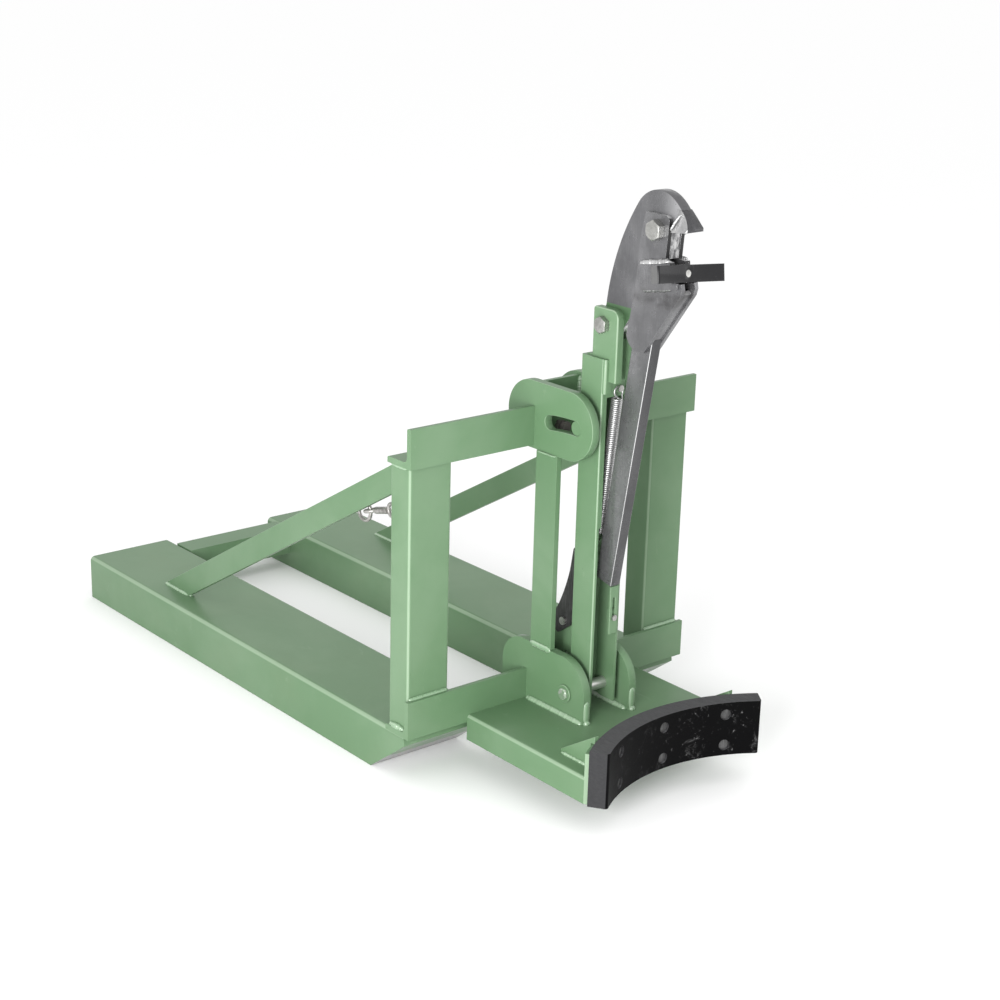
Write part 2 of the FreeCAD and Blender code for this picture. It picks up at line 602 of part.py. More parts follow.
# The gussets stand beside the outer nuts and hook over the backing plate behind the pad.
gusset_inner = ((nut_face + S.pad_nut_thick) * sine(S.pad_bolt_angle) + S.pad_nut_radius * cosine(S.pad_bolt_angle)
                + S.seat_gap)
gusset_y = root(backing_radius * backing_radius - gusset_inner * gusset_inner) - S.drum_centre + S.seat_gap
gusset_front = root(pad_back * pad_back - gusset_inner * gusset_inner) - S.drum_centre + S.seat_gap
gusset_outline = [
    (gusset_y, S.block_top), (-S.gusset_rear, S.block_top), (-S.gusset_rear, S.block_top + 6),
    (gusset_front, S.gusset_top), (gusset_front, S.backing_top + S.seat_gap), (gusset_y, S.backing_top + S.seat_gap),
]
keep(group("backing_gussets", [
    solid("left_gusset", "YZ_Plane", [gusset_outline], S.gusset_thick, x=-gusset_inner - S.gusset_thick),
    solid("right_gusset", "YZ_Plane", [gusset_outline], S.gusset_thick, x=gusset_inner),
]), "backing_gussets")

# Hinge of the mast: a pin with a domed head, a retaining ring and two spacers.
pin_right = S.plate_outer + 11
collar_left = -S.plate_outer - S.seat_gap - S.pin_head_high
stem = rod("pin_stem", "x", S.pin_radius, collar_left - S.pin_nose, pin_right, pivot_y, S.pivot_level)
collar = rod("pin_collar", "x", S.pin_head_radius, collar_left, -S.plate_outer - S.seat_gap, pivot_y, S.pivot_level)
pin = join("pin_blank", [stem, collar])
dome = doc.addObject("Part::Fillet", "hinge_pin")
dome.Base = pin
doc.recompute()
dome.Edges = [(number, 3.0, 3.0) if edge.Curve.Radius < S.pin_head_radius.value - 1 else (number, 1.5, 1.5)
              for number, edge in enumerate(pin.Shape.Edges, 1)
              if isinstance(edge.Curve, Part.Circle) and edge.CenterOfMass.x < collar_left.value + 0.01
              and (edge.CenterOfMass.x < collar_left.value - 1 or edge.Curve.Radius > S.pin_radius.value + 1)]
keep(dome, "hinge_pin")
clip_left = S.plate_outer + S.seat_gap
keep(cut("hinge_pin_ring", rod("ring_blank", "x", S.pin_head_radius + 2, clip_left, clip_left + 5, pivot_y, S.pivot_level),
         [rod("ring_bore", "x", S.pin_radius, clip_left - 1, clip_left + 6, pivot_y, S.pivot_level)]), "hinge_pin_ring")
spacers = []
for side, left, right in (("left", -ear_inner + S.seat_gap, -S.mast_half - S.seat_gap),
                          ("right", S.mast_half + S.seat_gap, ear_inner - S.seat_gap)):
    outside = rod(side + "_spacer_blank", "x", S.bush_radius + 2, left, right, pivot_y, S.pivot_level)
    bore = rod(side + "_spacer_bore", "x", S.pin_radius + S.turn_play, left - 1, right + 1, pivot_y, S.pivot_level)
    spacers.append(cut(side + "_spacer", outside, [bore]))
keep(group("hinge_spacers", spacers), "hinge_spacers")

# Mast: a channel open to the front, rounded at the back of its foot.
mast_outline = [
    (-S.mast_front, S.mast_foot), (-S.mast_rear - S.mast_foot_round, S.mast_foot, S.mast_foot_round, 1),
    (-S.mast_rear, S.mast_foot + S.mast_foot_round), (-S.mast_rear, S.mast_top), (-S.mast_front, S.mast_top),
]
mast = solid("mast_channel", "YZ_Plane", [mast_outline], S.mast_half * 2, x=-S.mast_half,
             holes=[(pivot_y, S.pivot_level, S.bush_radius)])
soften(mast, as_length(3), lambda edge: along(edge, "z") and abs(edge.CenterOfMass.x - S.mast_half.value)
       > S.mast_half.value - 0.1)
mast_room = rectangle(-S.mast_front - 2, -S.mast_rear - S.mast_wall, S.mast_foot - 1, S.mast_top + 1)
hollow(mast, "YZ_Plane", mast_room, (S.mast_half - S.mast_wall) * 2, S.mast_wall)
keep(mast, "mast_channel")
bushes = []
for side, left, right in (("left", -S.mast_half, S.mast_wall - S.mast_half), ("right", S.mast_half - S.mast_wall, S.mast_half)):
    outside = rod(side + "_bush_blank", "x", S.bush_radius, left, right, pivot_y, S.pivot_level)
    bore = rod(side + "_bush_bore", "x", S.pin_radius + S.turn_play, left - 1, right + 1, pivot_y, S.pivot_level)
    bushes.append(cut(side + "_bush", outside, [bore]))
keep(group("mast_bush", bushes), "mast_bush")
keep(group("guide_pins", [
    rod("left_guide_pin", "x", S.guide_pin_radius, -S.plate_outer + 2, -S.mast_half, pivot_y, S.guide_level),
    rod("right_guide_pin", "x", S.guide_pin_radius, S.mast_half, S.plate_outer - 2, pivot_y, S.guide_level),
]), "guide_pins")
lips = []
for side, left, right in (("left", -S.mast_half, S.lip_width - S.mast_half), ("right", S.mast_half - S.lip_width, S.mast_half)):
    front = -S.mast_front - S.lip_thick
    if side == "left":
        path = [(left + S.lip_round, front), (right, front), (right, -S.mast_front), (left, -S.mast_front),
                (left, front + S.lip_round, S.lip_round, 1)]
    else:
        path = [(left, front), (right - S.lip_round, front, S.lip_round, 1), (right, front + S.lip_round),
                (right, -S.mast_front), (left, -S.mast_front)]
    lips.append(solid(side + "_guide_lip", "XY_Plane", [path], S.mast_top - S.lip_bottom, z=S.lip_bottom))
keep(group("guide_lips", lips), "guide_lips")

# Slider: a smaller channel in the mast, closed at the top, with a neck between the lips and a fork head.
slider_half = S.mast_half - S.mast_wall - S.slider_play
slider_rear = -S.mast_rear - S.mast_wall - S.slider_play
slider_front = -S.mast_front + S.slider_play
trunk = cut("slider_trunk", box("trunk_blank", -slider_half, slider_half, slider_front, slider_rear, S.slider_foot,
                                S.mast_top + 2),
            [box("trunk_room", -slider_half + S.slider_wall, slider_half - S.slider_wall, slider_front - 1,
                 slider_rear - S.slider_wall, S.slider_foot - 1, S.slider_closed)])
cheek_rear = -S.mast_front - S.lip_thick - S.head_play
neck_high = box("neck_high", -S.neck_half, S.neck_half, cheek_rear - 2, slider_front + 1, S.neck_step, S.mast_top + 3)
neck_low = box("neck_low", -S.neck_half, S.neck_half, -S.neck_foot_front, slider_front + 1, S.lip_bottom,
               S.neck_step + 1)
head_low = S.mast_top + S.head_play
head_outline = [
    (-S.head_front, S.neck_step), (cheek_rear, S.neck_step), (cheek_rear, head_low), (-S.head_rear, head_low),
    (-S.head_rear, S.head_top - S.head_round_rear, S.head_round_rear, 1),
    (-S.head_rear - S.head_round_rear, S.head_top), (S.head_round_front - S.head_front, S.head_top, S.head_round_front, 1),
    (-S.head_front, S.head_top - S.head_round_front),
]
head_hole = (-S.head_bolt_front, S.head_bolt_level, S.head_bolt_radius + S.turn_play)
head = solid("head_blank", "YZ_Plane", [head_outline], slider_half * 2, x=-slider_half, holes=[head_hole])
soften(head, as_length(3), lambda edge: along(edge, "z") and edge.CenterOfMass.y < -S.head_front.value + 1)
fork_half = S.beak_half + S.fork_play
slider = cut("mast_slider", join("slider_blank", [trunk, neck_high, neck_low, head]),
             [box("head_slot", -fork_half, fork_half, -S.head_front - 5, -S.head_rear + 5, S.head_slot_floor,
                  S.head_top + 5),
              box("head_recess", -fork_half, fork_half, -S.head_front - 5, cheek_rear - 1, S.neck_step - 1,
                  S.head_slot_floor + 1)])
keep(slider, "mast_slider")

bolt_y = -S.head_bolt_front
head_left = -slider_half - S.seat_gap
head_right = slider_half + S.seat_gap
head_bolt = join("head_bolt", [
    hexagon("head_bolt_hex", "x", as_length(13.9), head_left - 10, head_left, bolt_y, S.head_bolt_level),
    rod("head_bolt_stem", "x", S.head_bolt_radius, head_left - 1, head_right + 17, bolt_y, S.head_bolt_level)])
keep(head_bolt, "head_bolt")
keep(cut("head_nut", hexagon("head_nut_hex", "x", as_length(13.9), head_right, head_right + 13, bolt_y, S.head_bolt_level),
         [rod("head_nut_bore", "x", S.head_bolt_radius, head_right - 1, head_right + 14, bolt_y, S.head_bolt_level)]),
     "head_nut")


# Beak: one thick plate. Its back and nose are arcs that run smoothly into the crown's arc.
def inner_touch(radius, y, z, sign):
    """The centre of an arc of this radius that passes through (y, z) and touches the crown from outside it."""
    cy, cz, small = -S.crown_front.value, S.crown_level.value, S.crown_radius.value
    apart = radius - small
    dy, dz = y - cy, z - cz
    far = math.hypot(dy, dz)
    turned = math.acos((far * far + apart * apart - radius * radius) / (2 * far * apart)) * sign
    angle = math.atan2(dz, dy) + turned
    return cy + apart * math.cos(angle), cz + apart * math.sin(angle)


def touch_point(radius, y, z, sign):
    my, mz = inner_touch(radius, y, z, sign)
    cy, cz, small = -S.crown_front.value, S.crown_level.value, S.crown_radius.value
    far = math.hypot(cy - my, cz - mz)
    return cy + (cy - my) / far * small, cz + (cz - mz) / far * small


back_y, back_z = touch_point(S.back_radius.value, -S.back_foot_front.value, S.back_foot_level.value, -1)
nose_y, nose_z = touch_point(S.nose_radius.value, -S.nose_tip_front.value, S.nose_tip_level.value, 1)
heel_reach = S.head_bolt_level - S.head_slot_floor - S.seat_gap * 2
beak_outline = [
    (-S.back_foot_front, S.back_foot_level, S.back_radius, 1),
    (back_y, back_z, S.crown_radius, 1),
    (nose_y, nose_z, S.nose_radius, 1),
    (-S.nose_tip_front, S.nose_tip_level),
    (-S.nose_tip_front + 8, S.mouth_roof),
    (-S.mouth_edge - 4, S.mouth_roof, as_length(4), -1),
    (-S.mouth_edge, S.mouth_roof - 4),
    (-S.mouth_edge, S.mouth_floor),
    (-S.neck_top_front, S.mouth_floor),
    (-S.neck_waist_front, S.neck_waist_level),
    (-S.heel_front, S.heel_level),
    (-S.head_bolt_front - heel_reach * 0.26, S.head_bolt_level - heel_reach * 0.9656, heel_reach, 1),
    (-S.head_bolt_front + heel_reach * 0.9, S.head_bolt_level + heel_reach * 0.4359),
]
jaw_hole = (-S.jaw_bolt_front, S.jaw_bolt_level, S.jaw_bolt_radius + S.turn_play)
beak = solid("beak_plate", "YZ_Plane", [beak_outline], S.beak_half * 2, x=-S.beak_half,
             holes=[head_hole, jaw_hole])
keep(beak, "beak_plate")
# The toe widens the beak's tip to both sides and ahead, for the drum's rim.
nose_middle_y, nose_middle_z = inner_touch(S.nose_radius.value, -S.nose_tip_front.value, S.nose_tip_level.value, 1)
toe_rise = S.toe_top.value - nose_middle_z
toe_top_front = nose_middle_y - math.sqrt(S.nose_radius.value ** 2 - toe_rise ** 2)
toe_side = solid("toe_side", "YZ_Plane", [[
    (-S.toe_back, S.mouth_roof), (-S.toe_back - 5, S.mouth_roof + 14), (toe_top_front + 8, S.toe_top),
    (toe_top_front - 0.8, S.toe_top, S.nose_radius, 1), (-S.toe_tip, S.toe_edge + 3, as_length(3), 1),
    (-S.toe_tip + 3, S.toe_edge),
]], S.toe_half * 2, x=-S.toe_half)
toe_waist = S.beak_half + 0.8
toe_face = solid("toe_face", "XZ_Plane", [[
    (-S.toe_half, S.mouth_roof - 2), (S.toe_half, S.mouth_roof - 2), (S.toe_half, S.toe_edge + 1, S.toe_flare, -1),
    (toe_waist, S.toe_top + 1), (-toe_waist, S.toe_top + 1, S.toe_flare, -1), (-S.toe_half, S.toe_edge + 1),
]], S.toe_tip + 5)
toe_plan = solid("toe_plan", "XY_Plane", [[
    (S.toe_round - S.toe_half, -S.toe_tip), (S.toe_half - S.toe_round, -S.toe_tip, S.toe_round, 1),
    (S.toe_half, S.toe_round - S.toe_tip), (S.toe_half, -S.toe_back + 2), (-S.toe_half, -S.toe_back + 2),
    (-S.toe_half, S.toe_round - S.toe_tip, S.toe_round, 1),
]], S.toe_top - S.mouth_roof + 4, z=S.mouth_roof - 2)
toe = doc.addObject("Part::MultiCommon", "toe_blank")
toe.Shapes = [toe_side, toe_face, toe_plan]
beak_copy = solid("toe_seat", "YZ_Plane", [beak_outline], S.beak_half * 2, x=-S.beak_half)
keep(cut("beak_toe", toe, [beak_copy]), "beak_toe")

# Jaw lever: two side plates astride the beak, a front web, the counter bar and the jaw between two cheeks.
plate_inner = S.beak_half + S.fork_play
plate_out = plate_inner + S.lever_plate
tilt_sine = sine(S.jaw_tilt)
tilt_cosine = cosine(S.jaw_tilt)


def jaw_point(ahead, above):
    """A point of the jaw's tilted frame, given ahead of the jaw's back and above its middle."""
    return (as_length(above) * tilt_sine - as_length(ahead) * tilt_cosine - S.jaw_front,
            as_length(ahead) * tilt_sine + as_length(above) * tilt_cosine + S.jaw_level)


jaw_half_height = S.jaw_height / 2
jaw_room = jaw_half_height + S.seat_gap + plate_out * sine(S.jaw_roll)
lever_top = S.jaw_bolt_level + S.lever_crest
lever_outline = [
    (-S.lever_top_rear, lever_top), (-S.lever_top_front + S.lever_top_round, lever_top, S.lever_top_round, 1),
    (-S.lever_top_front, lever_top - S.lever_top_round), (-S.lever_chin_front, S.lever_chin),
    jaw_point(-S.seat_gap, S.cheek_top), jaw_point(-S.seat_gap, -jaw_room), jaw_point(S.jaw_thick, -jaw_room),
    (-S.lever_knee_front, S.lever_knee_level), (-S.lever_knee_front + 3, S.lever_knee_level - 10),
    (-S.lever_foot_front, S.lever_foot_level), (-S.lever_foot_front + 16, S.lever_foot_level - 0.7, S.lever_low_round, 1),
    (-S.lever_heel_front, S.lever_heel_level, S.lever_back_sweep, -1),
    (-S.lever_waist_front, S.lever_waist_level, S.lever_waist_sweep, 1),
]
for side, left in (("left", -plate_out), ("right", plate_inner)):
    keep(solid(f"lever_{side}_plate", "YZ_Plane", [lever_outline], S.lever_plate, x=left, holes=[jaw_hole]),
         f"lever_{side}_plate")
counter_outline = [
    (-S.bar_foot_front, S.bar_foot_level - 3), (-S.bar_foot_rear, S.bar_foot_level + 5),
    (-S.bar_head_rear, S.bar_head_level), (-S.bar_head_front, S.bar_head_level),
]
keep(solid("counter_bar", "YZ_Plane", [counter_outline], plate_inner * 2, x=-plate_inner), "counter_bar")
slope_y = S.lever_knee_front - 3 - S.lever_foot_front
slope_z = S.lever_knee_level - 10 - S.lever_foot_level
slope = root(slope_y * slope_y + slope_z * slope_z)


def web_point(along_slope, inset):
    """A point of the lever's front slope, given as a share of its length and a depth behind it."""
    return (-S.lever_foot_front - slope_y * along_slope + as_length(inset) * slope_z / slope,
            S.lever_foot_level + slope_z * along_slope + as_length(inset) * slope_y / slope)


web_back = S.web_inset + S.web_thick
web_outline = [web_point(0.0, S.web_inset), web_point(0.0, web_back), web_point(1.0, web_back),
               web_point(1.0, S.web_inset)]
web = solid("web_blank", "YZ_Plane", [web_outline], plate_inner * 2, x=-plate_inner)
keep(cut("lever_web", web, [solid("web_bar", "YZ_Plane", [counter_outline], plate_inner * 2, x=-plate_inner)]), "lever_web")

jaw_y = -S.jaw_bolt_front
jaw_left = -plate_out - S.seat_gap
jaw_right = plate_out + S.seat_gap
keep(join("jaw_bolt", [
    hexagon("jaw_bolt_hex", "x", as_length(16.2), jaw_left - 12, jaw_left, jaw_y, S.jaw_bolt_level),
    rod("jaw_bolt_stem", "x", S.jaw_bolt_radius, jaw_left - 1, jaw_right + 18, jaw_y, S.jaw_bolt_level)]), "jaw_bolt")
keep(cut("jaw_nut", hexagon("jaw_nut_hex", "x", as_length(16.2), jaw_right, jaw_right + 14, jaw_y, S.jaw_bolt_level),
         [rod("jaw_nut_bore", "x", S.jaw_bolt_radius, jaw_right - 1, jaw_right + 15, jaw_y, S.jaw_bolt_level)]), "jaw_nut")



def tilted(item):
    """Stands a piece that was made square about the middle of the jaw's back in its tilted place."""
    item.Placement.Rotation = FreeCAD.Rotation(Vector(1, 0, 0), -S.jaw_tilt.value)
    move(item, 0, -S.jaw_front - datum, S.jaw_level)
    return item


def jaw_band(name, grow):
    """The jaw's bent bar about the middle of its back, rolled about its screw, as it is or grown all round."""
    inner = S.drum_radius + S.jaw_relief
    outer = inner + S.jaw_thick + grow
    half = S.jaw_half + grow
    middle = -S.jaw_thick - inner
    path = [(half, root(inner * inner - half * half) + middle), (half, root(outer * outer - half * half) + middle, outer, 1),
            (-half, root(outer * outer - half * half) + middle),
            (-half, root(inner * inner - half * half) + middle, inner, -1)]
    body = solid(name, "XY_Plane", [path], S.jaw_height + as_length(grow) * 2)
    body.Placement.Rotation = FreeCAD.Rotation(Vector(0, 1, 0), S.jaw_roll.value)
    low = -jaw_half_height - grow
    move(body, low * sine(S.jaw_roll), 0, low * cosine(S.jaw_roll))
    return body


jaw = jaw_band("jaw_blank", 0)
soften(jaw, S.jaw_round, lambda edge: along(edge, "z"))
shank_hole = S.jaw_screw_radius + S.turn_play
sunk = as_length(4.0)
jaw = cut("jaw_bar", jaw, [
    rod("jaw_shank_hole", "y", shank_hole, datum - S.jaw_thick - 5, datum + 5, ZERO, ZERO),
    rod("jaw_head_hole", "y", S.jaw_screw_head + S.turn_play, datum - S.jaw_thick - 5, datum - S.jaw_thick + sunk, ZERO,
        ZERO)])
keep(tilted(jaw), "jaw_bar")
jaw_block = cut("jaw_block", box("block_blank", -plate_inner, plate_inner, datum, datum + S.jaw_block_depth,
                                 -jaw_half_height, jaw_half_height),
                [rod("block_hole", "y", shank_hole, datum - 1, datum + S.jaw_block_depth - 3, ZERO, ZERO)])
keep(tilted(jaw_block), "jaw_block")
jaw_screw = join("jaw_screw", [
    rod("jaw_screw_shank", "y", S.jaw_screw_radius, datum - S.jaw_thick + sunk - 1, datum + S.jaw_block_depth - 4,
        ZERO, ZERO),
    rod("jaw_screw_top", "y", S.jaw_screw_head, datum - S.jaw_thick + 0.5, datum - S.jaw_thick + sunk, ZERO, ZERO)])
keep(tilted(jaw_screw), "jaw_screw")
cheeks = []
for side, left in (("left", -plate_out - S.cheek_thick), ("right", plate_out)):
    blank = box(side + "_cheek_blank", left, left + S.cheek_thick, datum - 12, datum + S.cheek_depth, -S.cheek_low,
                S.cheek_top)
    cheeks.append(cut(side + "_cheek", blank, [
        jaw_band(side + "_cheek_seat", 0),
        box(side + "_cheek_clear", left - 1, left + S.cheek_thick + 1, datum - 13, datum, -jaw_half_height,
            S.cheek_top + 1)]))
cheeks = tilted(join("jaw_cheeks", cheeks))
keep(cheeks, "jaw_cheeks")

# Spring inside the slider's channel, drawn as a plain tube with its two end loops.
loop_inside = S.loop_radius - S.coil_wire
low_loop = S.anchor_level - S.anchor_radius - S.seat_gap + loop_inside
high_loop = S.spring_screw_level + S.spring_screw_radius + S.seat_gap - loop_inside
coil_low = low_loop + S.loop_radius
coil_high = high_loop - S.loop_radius
coil_rise = coil_high - coil_low
coil_shift = S.coil_high_front - S.coil_low_front
coil_run = root(coil_rise * coil_rise + coil_shift * coil_shift)
coil_tilt = math.degrees(math.atan2(coil_shift.value, coil_rise.value))
cap = S.coil_wire * 2
coils = []
for part_name, radius, inset in (("coil_outside", S.coil_radius, ZERO), ("coil_inside", S.coil_radius - cap, cap)):
    item = doc.addObject("Part::Cylinder", part_name)
    bind(item, "Radius", radius)
    bind(item, "Height", coil_run - inset * 2)
    item.Placement.Rotation = FreeCAD.Rotation(Vector(1, 0, 0), coil_tilt)
    share = inset / coil_run
    move(item, 0, -S.coil_low_front - coil_shift * share - datum, coil_low + coil_rise * share)
    coils.append(item)
loops = []
for part_name, front, level in (("low_loop", S.coil_low_front, low_loop), ("high_loop", S.coil_high_front + 2.3, high_loop)):
    item = doc.addObject("Part::Torus", part_name)
    bind(item, "Radius1", S.loop_radius)
    bind(item, "Radius2", S.coil_wire)
    item.Placement.Rotation = FreeCAD.Rotation(Vector(1, 0, 0), 90)
    move(item, 0, -front - datum, level)
    loops.append(item)
keep(join("lift_spring", [cut("coil_tube", coils[0], [coils[1]])] + loops), "lift_spring")
anchor_inner = -S.mast_rear - S.mast_wall
anchor_face = -S.coil_low_front - S.coil_wire - S.seat_gap
keep(join("spring_anchor", [
    rod("anchor_stem", "y", S.anchor_radius, anchor_face - 1, anchor_inner, ZERO, S.anchor_level),
    rod("anchor_head", "y", as_length(5.5), anchor_face - 2.9, anchor_face, ZERO, S.anchor_level)]),
     "spring_anchor")
screw_front = -S.coil_high_front - 2.3 - S.coil_wire - 0.8
keep(join("spring_screw", [
    rod("spring_screw_stem", "y", S.spring_screw_radius, screw_front - 1, -S.neck_foot_front, ZERO, S.spring_screw_level),
    hexagon("spring_screw_head", "y", as_length(5.8), screw_front - 4, screw_front, ZERO, S.spring_screw_level)]),
     "spring_screw")

# Tilt clamp behind the mast: a lug on the mast, a slotted plate on the frame, a screw and a black hand lever.
lug_left = -S.lug_thick / 2
clamp_y = -S.clamp_front
lug_outline = [
    (-S.mast_rear, S.lug_low), (-S.lug_rear - 10, S.lug_low), (-S.lug_rear, S.lug_low + 10),
    (-S.lug_rear, S.lug_high - 10), (-S.lug_rear - 10, S.lug_high), (-S.mast_rear, S.lug_high - 10),
]
keep(solid("tilt_lug", "YZ_Plane", [lug_outline], S.lug_thick, x=lug_left,
           holes=[(clamp_y, S.clamp_level, S.clamp_screw_radius), (clamp_y, S.lug_low + 12, as_length(4))]), "tilt_lug")
reach_y = pivot_y.value - clamp_y.value
reach = math.hypot(reach_y, S.clamp_level.value - S.pivot_level.value)
reach_angle = math.atan2(S.clamp_level.value - S.pivot_level.value, -reach_y)
link_half = S.clamp_screw_radius.value + 0.6


def about_pivot(radius, angle):
    return pivot_y.value + radius * math.cos(angle), S.pivot_level.value + radius * math.sin(angle)


low_angle = reach_angle - math.radians(S.tilt_travel.value)
link_slot = [
    about_pivot(reach - link_half, reach_angle) + (as_length(reach - link_half), -1),
    about_pivot(reach - link_half, low_angle) + (as_length(link_half), 1),
    about_pivot(reach + link_half, low_angle) + (as_length(reach + link_half), 1),
    about_pivot(reach + link_half, reach_angle) + (as_length(link_half), 1),
]
lock_left = S.lug_thick / 2 + S.seat_gap
tie_front = as_length(5)
lock_outline = [
    (-S.clamp_front - 18, S.clamp_level - 26), (tie_front - 12, S.ear_top - 40), (tie_front, S.ear_top - 40),
    (tie_front, S.clamp_level + 8), (-S.clamp_front + 12, S.clamp_level + 20), (-S.clamp_front - 18, S.clamp_level + 20),
]
keep(solid("lock_plate", "YZ_Plane", [lock_outline, link_slot], S.lock_plate_thick, x=lock_left), "lock_plate")
keep(box("lock_tie", -ear_inner, ear_inner, tie_front, tie_front + 10, S.ear_top - 42, S.ear_top - 14), "lock_tie")
lever_right = lug_left - S.seat_gap
lever_left = lever_right - S.clamp_lever_thick
screw_left = lever_left - S.seat_gap
keep(join("clamp_screw", [
    rod("clamp_screw_stem", "x", S.clamp_screw_radius, screw_left - 1, lock_left + S.lock_plate_thick + 12, clamp_y,
        S.clamp_level),
    rod("clamp_screw_head", "x", as_length(7), screw_left - 4, screw_left, clamp_y, S.clamp_level),
    hexagon("clamp_screw_nut", "x", as_length(9), lock_left + S.lock_plate_thick + S.seat_gap,
            lock_left + S.lock_plate_thick + 8, clamp_y, S.clamp_level)]), "clamp_screw")
handle_outline = [
    (clamp_y - 17, S.clamp_level - 3), (clamp_y + 14, S.clamp_level - 25, as_length(13), 1),
    (clamp_y + 24, S.clamp_level - 12), (clamp_y + 23, S.clamp_level + 9, S.clamp_lever_sweep, -1),
    (clamp_y - 11, S.clamp_level + 94), (clamp_y - 17, S.clamp_level + 130, as_length(9), 1),
    (clamp_y - 34, S.clamp_level + 130), (clamp_y - 36, S.clamp_level + 90), (clamp_y - 30, S.clamp_level + 40),
]
keep(solid("clamp_lever", "YZ_Plane", [handle_outline], S.clamp_lever_thick, x=lever_left,
           holes=[(clamp_y, S.clamp_level, S.clamp_screw_radius + S.turn_play)]), "clamp_lever")

# Stop plate beside the right leg of the mast, on a block inside the leg, with its screw.
block_right = S.mast_half - S.mast_wall
plate_front = -S.mast_front - S.stop_plate_thick
stop_middle = (S.stop_plate_left + S.stop_plate_right) / 2
keep(box("stop_block", S.stop_plate_left + 5.5, block_right, -S.mast_front, -S.mast_front + 8, S.stop_plate_low + 14,
         S.stop_plate_low + 40), "stop_block")
slot_low = S.stop_plate_low + 28
keep(cut("stop_plate", box("stop_plate_blank", S.stop_plate_left, S.stop_plate_right, plate_front, -S.mast_front,
                           S.stop_plate_low, S.stop_plate_high),
         [box("stop_slot", stop_middle - 2.8, stop_middle + 2.8, plate_front - 1, -S.mast_front + 1, slot_low,
              slot_low + 32),
          rod("stop_slot_low", "y", as_length(2.8), plate_front - 1, -S.mast_front + 1, stop_middle, slot_low),
          rod("stop_slot_high", "y", as_length(2.8), plate_front - 1, -S.mast_front + 1, stop_middle, slot_low + 32)]),
     "stop_plate")
keep(join("stop_screw", [
    rod("stop_screw_stem", "y", as_length(2.5), plate_front - 1, -S.mast_front, stop_middle, slot_low),
    rod("stop_screw_head", "y", as_length(5), plate_front - 3.3, plate_front - S.seat_gap, stop_middle, slot_low)]),
     "stop_screw")

# Safety hook: a staple on the brace, a ring, a swivel hook and a staple on the upright that it is clipped into.
def half_ring(radius, wire):
    """A half circle of round wire about Z, on the +X side, with straight ends that run into what it is welded to."""
    arc = Part.Arc(Vector(0, -radius, 0), Vector(radius, 0, 0), Vector(0, radius, 0)).toShape()
    start = Part.makeLine(Vector(-0.5, -radius, 0), Vector(0, -radius, 0))
    end = Part.makeLine(Vector(0, radius, 0), Vector(-0.5, radius, 0))
    path = Part.Wire([start, arc, end])
    profile = Part.Wire([Part.makeCircle(wire, Vector(-0.5, -radius, 0), Vector(1, 0, 0))])
    return path.makePipeShell([profile], True, True)


def feature(label, shape, base, rotation):
    item = doc.addObject("Part::Feature", label)
    item.Shape = shape
    item.Placement = FreeCAD.Placement(base, rotation)
    return item


hook_x = -S.hook_side.value
ring_y = S.ring_rear.value - datum.value
brace_face = -S.brace_middle.value + S.brace_thick.value / 2
staple = half_ring(S.staple_radius.value, S.staple_wire.value)
brace_staple = feature("brace_staple", staple,
                       Vector(brace_face + 0.5, ring_y, S.ring_level.value + S.ring_radius.value + 1),
                       FreeCAD.Rotation(Vector(1, 0, 0), 90))
rise = math.radians(S.hook_rise.value)
far = (S.ring_rear.value - upright_rear.value - 4.5) / math.cos(rise)
eye_level = S.ring_level.value + far * math.sin(rise)
upright_staple = feature("upright_staple", staple, Vector(hook_x, upright_rear.value - datum.value + 0.5, eye_level),
                         FreeCAD.Rotation(Vector(0, 0, 1), 90))
keep(group("hook_staples", [brace_staple, upright_staple]), "hook_staples")
ring_shape = Part.makeTorus(S.ring_radius.value, S.ring_wire.value)
keep(feature("hook_ring", ring_shape, Vector(hook_x, ring_y, S.ring_level.value),
             FreeCAD.Rotation(Vector(0, 1, 0), 90)), "hook_ring")
eye = Part.makeTorus(12, 3, Vector(22, 0, 0))
barrel = Part.makeCylinder(6, 34, Vector(34, 0, 0), Vector(1, 0, 0))
near_middle = 80.0
far_middle = far - 11.0
gate_start = near_middle + 4
gate_end = far_middle - 4
path = Part.Wire([
    Part.makeLine(Vector(gate_start - 2, 0, 11), Vector(near_middle, 0, 11)),
    Part.Arc(Vector(near_middle, 0, 11), Vector(near_middle - 11, 0, 0), Vector(near_middle, 0, -11)).toShape(),
    Part.makeLine(Vector(near_middle, 0, -11), Vector(far_middle, 0, -11)),
    Part.Arc(Vector(far_middle, 0, -11), Vector(far, 0, 0), Vector(far_middle, 0, 11)).toShape(),
    Part.makeLine(Vector(far_middle, 0, 11), Vector(gate_end + 2, 0, 11)),
])
profile = Part.Wire([Part.makeCircle(3.2, Vector(gate_start - 2, 0, 11), Vector(1, 0, 0))])
frame_ring = path.makePipeShell([profile], True, True)
hook_shape = eye.fuse([barrel, frame_ring]).removeSplitter()
along_hook = FreeCAD.Rotation(Vector(1, 0, 0), -S.hook_rise.value).multiply(FreeCAD.Rotation(Vector(0, 0, 1), -90))
hook_base = Vector(hook_x, ring_y, S.ring_level.value)
keep(feature("snap_hook", hook_shape, hook_base, along_hook), "snap_hook")
gate_shape = Part.makeCylinder(2.8, gate_end - gate_start + 2.4, Vector(gate_start - 1.2, 0, 11), Vector(1, 0, 0))
keep(feature("snap_gate", gate_shape, hook_base, along_hook), "snap_gate")

